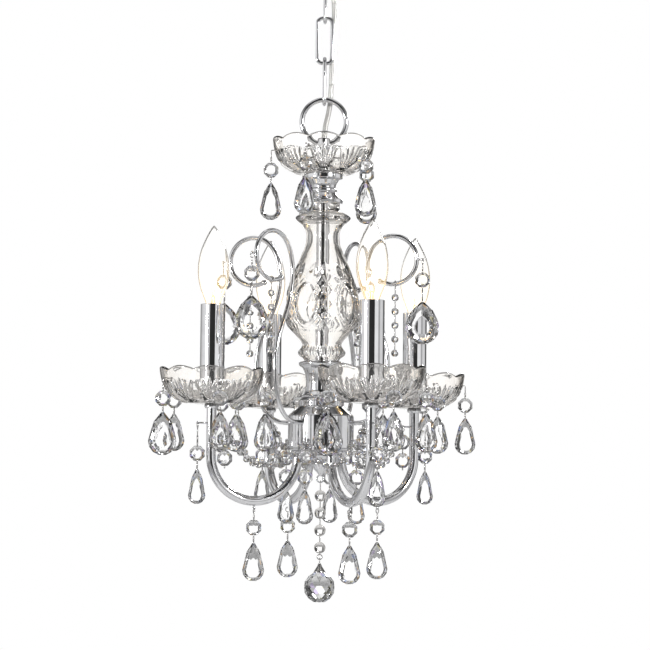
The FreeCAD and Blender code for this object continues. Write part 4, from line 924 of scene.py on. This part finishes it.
def bulb(number, angle):
    centre = polar(ARM_REACH, angle)
    outer = np.vstack([flowing(BULB_OUTLINE, 5), [(0.9, 75.5), (0.0, BULB_HEIGHT)]])
    lining = np.column_stack([BULB_OUTLINE[:, 0] - BULB_WALL,
                              BULB_OUTLINE[:, 1] - np.clip(BULB_OUTLINE[:, 1] - 50, 0, 12) / 12])
    inner = np.vstack([flowing(lining, 5), [(0.0, 73.8)]])[::-1]
    glass = Bench()
    glass.add(turned(np.vstack([outer, inner]) + (0, SLEEVE_TOP), 64, centre))
    stem = eased([(0, -8), (4.6, -8), (2.6, 0), (1.5, 5.5), (2.0, 7.5), (0, 9.0)], 0.8)
    glass.add(turned(stem + (0, SLEEVE_TOP), 32, centre))
    across = polar(1.0, angle + 50)
    half = np.linspace(0, math.pi, 16)[:, None]
    for side in (-1, 1):
        foot = centre + across * side * 0.8 + (0, 0, SLEEVE_TOP + 7.0)
        tip = centre + across * side * 4.2 + (0, 0, SLEEVE_TOP + 17.0)
        glass.add(rod(foot, tip, 0.22, 8), finish=1)
    arch = centre + across * 4.2 * np.cos(half) + np.array([0, 0, 1.0]) * 3.4 * np.sin(half)
    arch = arch + (0, 0, SLEEVE_TOP + 17.0)
    turns = np.linspace(0, 1, 200)
    spine = np.stack([np.interp(turns, np.linspace(0, 1, 16), arch[:, i]) for i in range(3)], -1)
    coil = spine + 0.8 * (np.cos(turns * 132)[:, None] * np.array([0, 0, 1.0])
                          + np.sin(turns * 132)[:, None] * polar(1.0, angle + 140))
    glass.add(drawn(coil, 0.45, polar(1.0, angle + 140), 6), finish=2)
    screw = np.linspace(SLEEVE_TOP - 24.0, SLEEVE_TOP - 8.0, 60)
    thread = 5.7 + 0.25 * np.cos((screw - SLEEVE_TOP) * 2 * math.pi / 3.2)
    base = np.vstack([[(0, screw[0])], np.stack([thread, screw], -1), [(0, screw[-1])]])
    glass.add(turned(base, 40, centre), finish=3)
    return glass.make("lamp_%d" % number, "bulb_%d" % number,
                      [LAMP, WIRE, FILAMENT, BRASS], ["bulb_%d" % number])


for number, angle in enumerate(ARM_ANGLES, 1):
    bulb(number, angle)
print("bulbs made")


# %% [markdown]
# ## Scrolls
# Four lengths of thin bar, each bent into an S with a round curl at the top. The S is
# two cubic curves whose end directions are known, and the curl is part of a circle.

# %% Scrolls
CURL_CENTRE, CURL_RADIUS, SCROLL_BAR = 70.0, 23.5, 2.2
CURL_Z = joint_place["scroll_drop_1_swing"][2]
SCROLL_ROOT = top("hub_shell") - 24.6


def between(start, leaving, end, arriving, pull=0.4, steps=20):
    """Cubic curve: its two handles reach pull times the chord along the end directions."""
    start, end = np.asarray(start, float), np.asarray(end, float)
    reach = pull * np.linalg.norm(end - start)
    first, second = start + np.multiply(leaving, reach), end - np.multiply(arriving, reach)
    t = np.linspace(0, 1, steps, endpoint=False)[:, None]
    return ((1 - t) ** 3 * start + 3 * t * (1 - t) ** 2 * first + 3 * t ** 2 * (1 - t) * second
            + t ** 3 * end)


def scroll(number, angle):
    out, up = (1.0, 0.0), (0.0, 1.0)
    belly = (65.8, SCROLL_ROOT + 54.0)
    waist = (42.8, CURL_Z - 16.0)
    crest = (CURL_CENTRE, CURL_Z + CURL_RADIUS)
    curl = np.radians(np.linspace(90, -118, 60))
    flat = np.vstack([[(28.0, SCROLL_ROOT)], between((35.0, SCROLL_ROOT), out, belly, up),
                      between(belly, up, waist, up), between(waist, up, crest, out),
                      np.stack([CURL_CENTRE + CURL_RADIUS * np.cos(curl),
                                CURL_Z + CURL_RADIUS * np.sin(curl)], -1)])
    bench = Bench()
    thick = np.full(len(flat), SCROLL_BAR)
    bench.add(drawn(upright(flat, angle), thick, polar(1.0, angle + 90), 24))
    bench.add(ball(upright(flat[-1:], angle)[0], 2.9, 12, 20))
    eye_on_peg(bench, joint_place["scroll_drop_%d_swing" % number], polar(-1.0, angle), angle)
    return bench.make("scroll_%d_bar" % number, "fixture", [CHROME],
                      ["scroll_%d" % number])


for number, angle in enumerate(SCROLL_ANGLES, 1):
    scroll(number, angle)
print("scrolls made")


# %% [markdown]
# ## Cut crystals
# A cut stone is the smallest convex shape round a few rings of points: a flat table,
# then rings that are each turned by half a step, which makes the triangles and kites of
# real facets. So each stone is worked out once as a convex hull and then set in place
# many times. Facets are flat shaded: a stone has no soft edges.

# %% Facets
TABLE_TILT = 0.95  # a facet that faces forward more than this is a table


def facets(points):
    """The convex hull of the points: corners, triangles and a number for each facet.

    The number picks a facet's painted fire or painted shade and comes from the facet's
    direction, so triangles of one facet share it. A table has -1, which later means no
    painted colour: it stays clear.
    """
    work = bmesh.new()
    for point in points:
        work.verts.new(point)
    made = bmesh.ops.convex_hull(work, input=work.verts)
    loose = {item for item in made["geom_interior"] + made["geom_unused"]
             if isinstance(item, bmesh.types.BMVert)}
    bmesh.ops.delete(work, geom=list(loose), context="VERTS")
    bmesh.ops.triangulate(work, faces=work.faces)
    work.verts.index_update()
    corners = np.array([tuple(vertex.co) for vertex in work.verts])
    triangles = np.array([[vertex.index for vertex in face.verts] for face in work.faces])
    normal = np.array([tuple(face.normal) for face in work.faces])
    work.free()
    number = (np.sin(np.round(normal, 2) @ (12.99, 78.23, 37.72)) * 437.58) % 1.0
    number[np.abs(normal[:, 1]) > TABLE_TILT] = -1.0
    return corners, triangles, number


def rings(outline, centre, thickness, steps):
    """Rings of a stone: at each depth the outline shrinks to a scale of itself.

    Odd rings use the middles of the outline's edges.
    """
    outline, centre = np.asarray(outline, float), np.asarray(centre, float)
    middles = (outline + np.roll(outline, -1, 0)) / 2
    points = []
    for order, (scale, depth) in enumerate(steps):
        ring = (middles if order % 2 else outline) - centre
        ring = centre + ring * scale
        for side in (-1, 1):
            points.append(np.insert(ring, 1, side * depth * thickness, axis=1))
    return np.vstack(points)


def octagon(across, thickness):
    """Octagon bead, its top edge at the origin."""
    angle = np.pi / 8 + np.arange(8) * np.pi / 4
    reach = across / 2 / math.cos(math.pi / 8)
    outline = np.stack([reach * np.cos(angle), reach * np.sin(angle) - across / 2], -1)
    return facets(rings(outline, (0, -across / 2), thickness,
                        [(1.0, 0.08), (0.9, 0.29), (0.58, 0.44), (0.26, 0.5)]))


def almond(width, length, thickness):
    """Almond drop: narrow at the top, round below, with a table and two rows of facets."""
    belly = width / 2
    centre = -length + belly
    right = [(1.2, 0.0), (0.62 * belly, -0.33 * (length - belly))]
    right += [(belly * math.cos(a), centre + belly * math.sin(a))
              for a in np.radians([24, 0, -25, -50, -75])]
    outline = right + [(-x, z) for x, z in reversed(right)]
    return facets(rings(outline, (0, centre), thickness,
                        [(1.0, 0.06), (0.86, 0.3), (0.64, 0.44), (0.44, 0.5)]))


def faceted_ball(radius, drop):
    """Ball of staggered rings, its centre this far below the origin."""
    points = []
    for order, lift in enumerate(np.radians([-68, -45, -22, 0, 22, 45, 68])):
        turn = (np.arange(12) + 0.5 * (order % 2)) * math.pi / 6
        points.append(np.stack([radius * np.cos(lift) * np.cos(turn),
                                radius * np.cos(lift) * np.sin(turn),
                                np.full(12, radius * np.sin(lift) - drop)], -1))
    return facets(np.vstack(points))


OCTAGON = octagon(14.4, 6.4)
SMALL_DROP = almond(21.0, 36.5, 9.0)
LARGE_DROP = almond(27.0, 41.0, 9.0)
LEG_DROP = almond(16.5, 33.0, 8.0)
PEAR = almond(33.0, 41.5, 12.0)
BEAD = faceted_ball(3.3, 0)
print("octagon %d facets, almond %d, pear %d" % tuple(len(s[1]) for s in
                                                     (OCTAGON, SMALL_DROP, PEAR)))

# %% [markdown]
# A string is an octagon and a drop. A bent pin with a small loop at each end goes
# through the holes in both, so the loops are set just inside the stones' edges.

# %% Strings
draws = np.random.default_rng(11)


def set_stone(bench, stone, place):
    """Put a stone in place; its facets' numbers are shifted so that stones differ."""
    corners, triangles, number = stone
    # Each facet's number for its painted fire or painted shade; tables stay clear.
    glint = np.where(number < 0, 0.0, (number + draws.random()) % 1.0)
    bench.add((corners + place, [triangles]), smooth=False, glint=glint)


def stone_ring(bench, place):
    """Small ring of the wire that goes through a stone's hole."""
    bench.add(loop(place, 1.6, 0.62, (1.0, 0, 0), 18, 8), finish=1)


def wire_eye(bench, anchor, angle, end):
    """Ring that hangs in a welded eye, and its straight tail this far down."""
    bench.add(loop(anchor - (0, 0, 2.4), 2.4, 0.5, polar(1.0, angle), 24, 8), finish=1)
    bench.add(rod(anchor - (0, 0, 4.8), anchor - (0, 0, end), 0.5, 8), finish=1)


def string(bench, anchor, hang, gap, drop):
    """Octagon this far under the anchor, and the drop a gap below it."""
    octagon_top = anchor - (0, 0, hang)
    octagon_low = octagon_top - (0, 0, 14.4)
    drop_top = octagon_low - (0, 0, gap)
    set_stone(bench, OCTAGON, octagon_top)
    set_stone(bench, drop, drop_top)
    for place in (octagon_top + (0, 0, 0.5), octagon_low - (0, 0, 0.5), drop_top + (0, 0, 0.3)):
        stone_ring(bench, place)
    for high_end, low_end in ((anchor - (0, 0, hang * 0.55), octagon_top + (0, 0, 1.9)),
                              (octagon_low - (0, 0, 1.9), drop_top + (0, 0, 1.7))):
        bench.add(rod(high_end, low_end, 0.8, 10), finish=1)


def hooked(bench, hole, angle, hang, gap, drop):
    """String on a headed pin that comes through a hole in a dish and bends down."""
    reach, bend = 3.4, 1.5
    turn = np.linspace(math.pi / 2, 0, 8)
    flat = np.vstack([[(-6.2, 0), (-1, 0)],
                      np.stack([reach - bend + bend * np.cos(turn),
                                bend * np.sin(turn) - bend], -1),
                      [(reach, -0.3 * hang), (reach, -0.62 * hang)]])
    path = hole + upright(flat, angle)
    bench.add(drawn(path, 0.5, polar(1.0, angle + 90), 8), finish=1)
    bench.add(ball(path[0], 1.1, 8, 12), finish=1)
    string(bench, hole + polar(reach, angle), hang, gap, drop)


def eyed(bench, anchor, angle, hang, gap, drop):
    """String on a wire ring that hangs in a welded eye."""
    wire_eye(bench, anchor, angle, 0.62 * hang)
    string(bench, anchor, hang, gap, drop)


def octagons(bench, anchor, angle, hang, count=2):
    """Octagons one under another on a wire ring; returns the lowest one's bottom edge."""
    wire_eye(bench, anchor, angle, hang - 1.9)
    low = anchor - (0, 0, hang)
    for step in range(count):
        set_stone(bench, OCTAGON, low)
        for place in (low + (0, 0, 0.5), low - (0, 0, 14.9)):
            stone_ring(bench, place)
        low = low - (0, 0, 14.4)
        if step < count - 1:
            bench.add(rod(low - (0, 0, 1.9), low - (0, 0, 2.6), 0.55, 8), finish=1)
            low = low - (0, 0, 4.0)
    return low


def swag(bench, start, end, sag, count):
    """Small beads on a thin wire that hangs slack between two eyes.

    The wire is the parabola start + (end - start) t, lowered by 4 sag t (1 - t).
    """
    def hang(share):
        return start + (end - start) * share - np.array([0, 0, 4 * sag]) * share * (1 - share)
    level = np.cross(end - start, (0, 0, 1.0))
    bench.add(drawn(hang(np.linspace(0, 1, 25)[:, None]), 0.4,
                    level / np.linalg.norm(level), 6), finish=1)
    for step in range(count):
        set_stone(bench, BEAD, hang((step + 0.5) / count))


SWAG_SAG, SWAG_BEADS = 30.0, 10
HOOK_RADIUS, HOOK_RISE, HOOKS = 48.3, 20.5, 5
DISH_HOOK_START = [-140.0, 6.0, -53.0, -150.0]
LARGE_ON_DISH = [0, None, None, 0]
STONES = [CRYSTAL, WIRE]


def hook_angles(start):
    return [start + step * 360.0 / HOOKS for step in range(HOOKS)]


for number, angle in enumerate(ARM_ANGLES, 1):
    bench = Bench()
    for step, hook in enumerate(hook_angles(DISH_HOOK_START[number - 1])):
        hole = polar(ARM_REACH, angle, DISH_FLOOR + HOOK_RISE) + polar(HOOK_RADIUS, hook)
        large = step == LARGE_ON_DISH[number - 1]
        hooked(bench, hole, hook, 12.6, 5.6, LARGE_DROP if large else SMALL_DROP)
    eyed(bench, polar(ARM_REACH + LEG_EYE_REACH, angle, CUP_LOW - 14), angle, 22, 8, LEG_DROP)
    octagons(bench, polar(ARM_REACH - LEG_EYE_REACH, angle, CUP_LOW - 14), angle, 8.0)
    hub_angle = HUB_STRING_ANGLES[number - 1]
    hub_eye = polar(HUB_EYE_RADIUS, hub_angle, top("hub_cap") + 8.0)
    last = octagons(bench, hub_eye, hub_angle, 10.0)
    set_stone(bench, LEG_DROP, last - (0, 0, 5.0))
    bench.add(rod(last - (0, 0, 1.9), last - (0, 0, 3.3), 0.8, 10), finish=1)
    stone_ring(bench, last - (0, 0, 4.7))
    for arm_angle in (angle, ARM_ANGLES[number % 4]):
        swag(bench, polar(ARM_REACH - LEG_EYE_REACH, arm_angle, CUP_LOW - 15.5),
             hub_eye - (0, 0, 1.5), SWAG_SAG, SWAG_BEADS)
    bench.make("arm_strings_%d" % number, "fixture", STONES,
               ["arm_crystals_%d" % number])
    bench = Bench()
    eyed(bench, ARM_EYE[number], angle, 11.5, 7.5, SMALL_DROP)
    name = "arm_drop_%d" % number
    bench.make(name + "_string", name, STONES, [name])
for number, hook in enumerate(hook_angles(178.0), 1):
    bench = Bench()
    name = "upper_drop_%d" % number
    hooked(bench, joint_place[name + "_swing"], hook, 12.6, 5.6, SMALL_DROP)
    bench.make(name + "_string", name, STONES, [name])
for number, angle in enumerate(SCROLL_ANGLES, 1):
    bench = Bench()
    name = "scroll_drop_%d" % number
    eyed(bench, joint_place[name + "_swing"], angle, 12.6, 14.0, PEAR)
    bench.make(name + "_string", name, STONES, [name])
print("strings made")

# %% [markdown]
# ## Beads and the ball
# Round glass beads are on wire between rings, under the finial and under each curl.
# The ball at the very bottom has a small metal cap.

# %% Bead string, strands and ball
bench = Bench()
EYE_RING = 2.4
string_top = joint_place["bead_string_swing"][2] + 1.45
ball_pivot = joint_place["ball_swing"][2]
bench.add(loop((0, 0, string_top - EYE_RING), EYE_RING, 0.5, (1, 0, 0)), finish=1)
first_bead = string_top - 2 * EYE_RING - 4.0 - 5.6
bench.add(rod((0, 0, string_top - 4.8), (0, 0, first_bead + 5.4), 0.5), finish=1)
for index in range(4):
    middle = first_bead - 16.7 * index
    bench.add(ball((0, 0, middle), 5.6, 20, 32))
    if index < 3:
        bench.add(rod((0, 0, middle - 5.4), (0, 0, middle - 11.3), 0.5), finish=1)
        bench.add(loop((0, 0, middle - 8.35), 1.5, 0.4, (1, 0, 0), 18, 8), finish=1)
bench.add(loop((0, 0, ball_pivot + EYE_RING), EYE_RING, 0.5, (0, 1, 0)), finish=1)
bench.add(rod((0, 0, middle - 5.4), (0, 0, ball_pivot + 4.8), 0.5), finish=1)
bench.make("finial_beads", "bead_string", [GLASS, WIRE], ["bead_string"])

bench = Bench()
cap_top = ball_pivot + 1.2 - 4.8
bench.add(loop((0, 0, ball_pivot + 1.2 - EYE_RING), EYE_RING, 0.5, (1, 0, 0)), finish=1)
bench.add(turned(eased([(0, cap_top), (1.2, cap_top), (2.4, cap_top - 3), (5.6, cap_top - 8),
                        (5.6, cap_top - 9), (0, cap_top - 9)], 0.5, 0.8), 32), finish=1)
BALL_RADIUS = 15.2
ball_drop = 9 + BALL_RADIUS * math.sin(math.radians(68))
set_stone(bench, faceted_ball(BALL_RADIUS, ball_drop), np.array([0, 0, cap_top]))
bench.make("faceted_ball", "crystal_ball", STONES, ["crystal_ball"])

bench = Bench()
for angle in SCROLL_ANGLES:
    place = CURL_CENTRE + 2.5
    bar_z = CURL_Z - math.sqrt(CURL_RADIUS ** 2 - 2.5 ** 2)
    bench.add(loop(polar(place, angle, bar_z), 2.9, 0.5, polar(1.0, angle)), finish=1)
    for index in range(5):
        start = polar(place, angle, bar_z - 3.4 - 13.5 * index)
        bench.add(rod(start, start - (0, 0, 6.3), 0.5, 8), finish=1)
        set_stone(bench, faceted_ball(3.6, 9.9), start)
bench.make("strands", "fixture", STONES, ["bead_strands"])
print("beads made")

# %% [markdown]
# ## Pieces that keep their solid
# The strap, the nipple, the threaded rod and the sockets are hidden in use and simple in
# shape, so their solids stay and only get a finish.

# %% Finishes on the remaining solids
for node, finish in (("mounting_strap", PLATED), ("canopy_nipple", PLATED), ("centre_rod", PLATED),
                     ("lamp_sockets", SOCKET)):
    held = frame["nodes"][node]
    for holder in held.material_slots:
        holder.material = finish
    if not held.material_slots:
        held.data.materials.append(finish)

# %% [markdown]
# ## Studio
# Chrome and glass need black as much as white. The surroundings are a white tent that is
# open towards the camera, where the room is dark: a chrome tube then shows a dark core,
# white flanks and grey edges. A pale floor lies well below. Small lamps add sparkle.

# %% Surroundings, floor and lamps
FLOOR_Z = -1.3
floor_mesh = bpy.data.meshes.new("floor")
FLOOR_REACH = 5.0
floor_mesh.from_pydata([(x * FLOOR_REACH, y * FLOOR_REACH, FLOOR_Z)
                        for x, y in ((-1, -1), (1, -1), (1, 1), (-1, 1))], [], [(0, 1, 2, 3)])
floor = bpy.data.objects.new("floor", floor_mesh)
bpy.context.scene.collection.objects.link(floor)
paper = new_finish("floor_paper")
floor_mesh.materials.append(paper.surface(
    Base_Color=paper.ramp(paper.noise(3.0), [(0.3, 0.86), (0.7, 0.9)]), Roughness=0.8,
    Emission_Color=paper.ramp(paper.node("ShaderNodeLightPath", {}, output=0),
                              [(0.0, 0.0), (1.0, 1.0)]), Emission_Strength=0.75))

world = bpy.data.worlds.new("studio")
bpy.context.scene.world = world
studio = Finish(world)
direction = studio.node("ShaderNodeTexCoord", {}, output=0)
split = studio.node("ShaderNodeSeparateXYZ", {}, (direction,))
node = split.socket.node
x, y, z = (Signal(studio, node.outputs[i]) for i in range(3))
around = studio.node("ShaderNodeMath", {"operation": "ARCTAN2"}, (x, 0 - y))
turn = around / (2 * math.pi) + 0.5
TENT_DEGREES = [(-180, 1.2), (-164, 1.1), (-161, 0.08), (-150, 0.1), (-146, 0.4), (-122, 0.5),
        (-116, 0.75), (-66, 1.0), (-39, 1.0), (-38, 0.35), (-33, 0.35), (-32, 1.0), (-26, 1.0),
        (-25, 0.04), (25, 0.03), (26, 1.0), (58, 1.0), (62, 0.5), (76, 0.45), (82, 0.85),
        (112, 0.8), (122, 0.3), (132, 0.06), (160, 0.05), (164, 1.1), (180, 1.2)]
tent = studio.ramp(turn, [(0.5 + degrees / 360, grey) for degrees, grey in TENT_DEGREES])
height = studio.ramp(z * 0.5 + 0.5, [(0.0, 0.3), (0.28, 0.4), (0.42, 0.95), (0.6, 1.0),
                                     (0.68, 0.75), (0.75, 0.25), (0.86, 0.2), (0.92, 0.95),
                                     (1.0, 1.0)])
room = studio.node("ShaderNodeMix", {"data_type": "RGBA", "blend_type": "MULTIPLY"},
                   {0: 1.0, 6: tent, 7: height}, output=2)
seen = studio.node("ShaderNodeLightPath", {}, output=0)
colour = studio.node("ShaderNodeMix", {"data_type": "RGBA"}, {0: seen, 6: room, 7: (1, 1, 1, 1)},
                     output=2)
background = studio.node("ShaderNodeBackground", {}, {"Color": colour, "Strength": 1.0})
studio.node("ShaderNodeOutputWorld", {}, (background,))

for name, place, size, power in (("key", (1.2, -1.3, 0.1), 0.25, 16.0),
                                 ("fill", (-1.4, -1.0, -0.3), 0.3, 12.0),
                                 ("rim", (0.5, 1.4, 0.2), 0.2, 10.0)):
    lamp = bpy.data.lights.new(name, "AREA")
    lamp.size, lamp.energy = size, power
    holder = bpy.data.objects.new(name, lamp)
    bpy.context.scene.collection.objects.link(holder)
    aim = Vector((0, 0, -0.4)) - Vector(place)
    holder.matrix_world = (Matrix.Translation(place)
                           @ aim.to_track_quat("-Z", "Y").to_matrix().to_4x4())
    holder.visible_camera = False
print("studio ready")
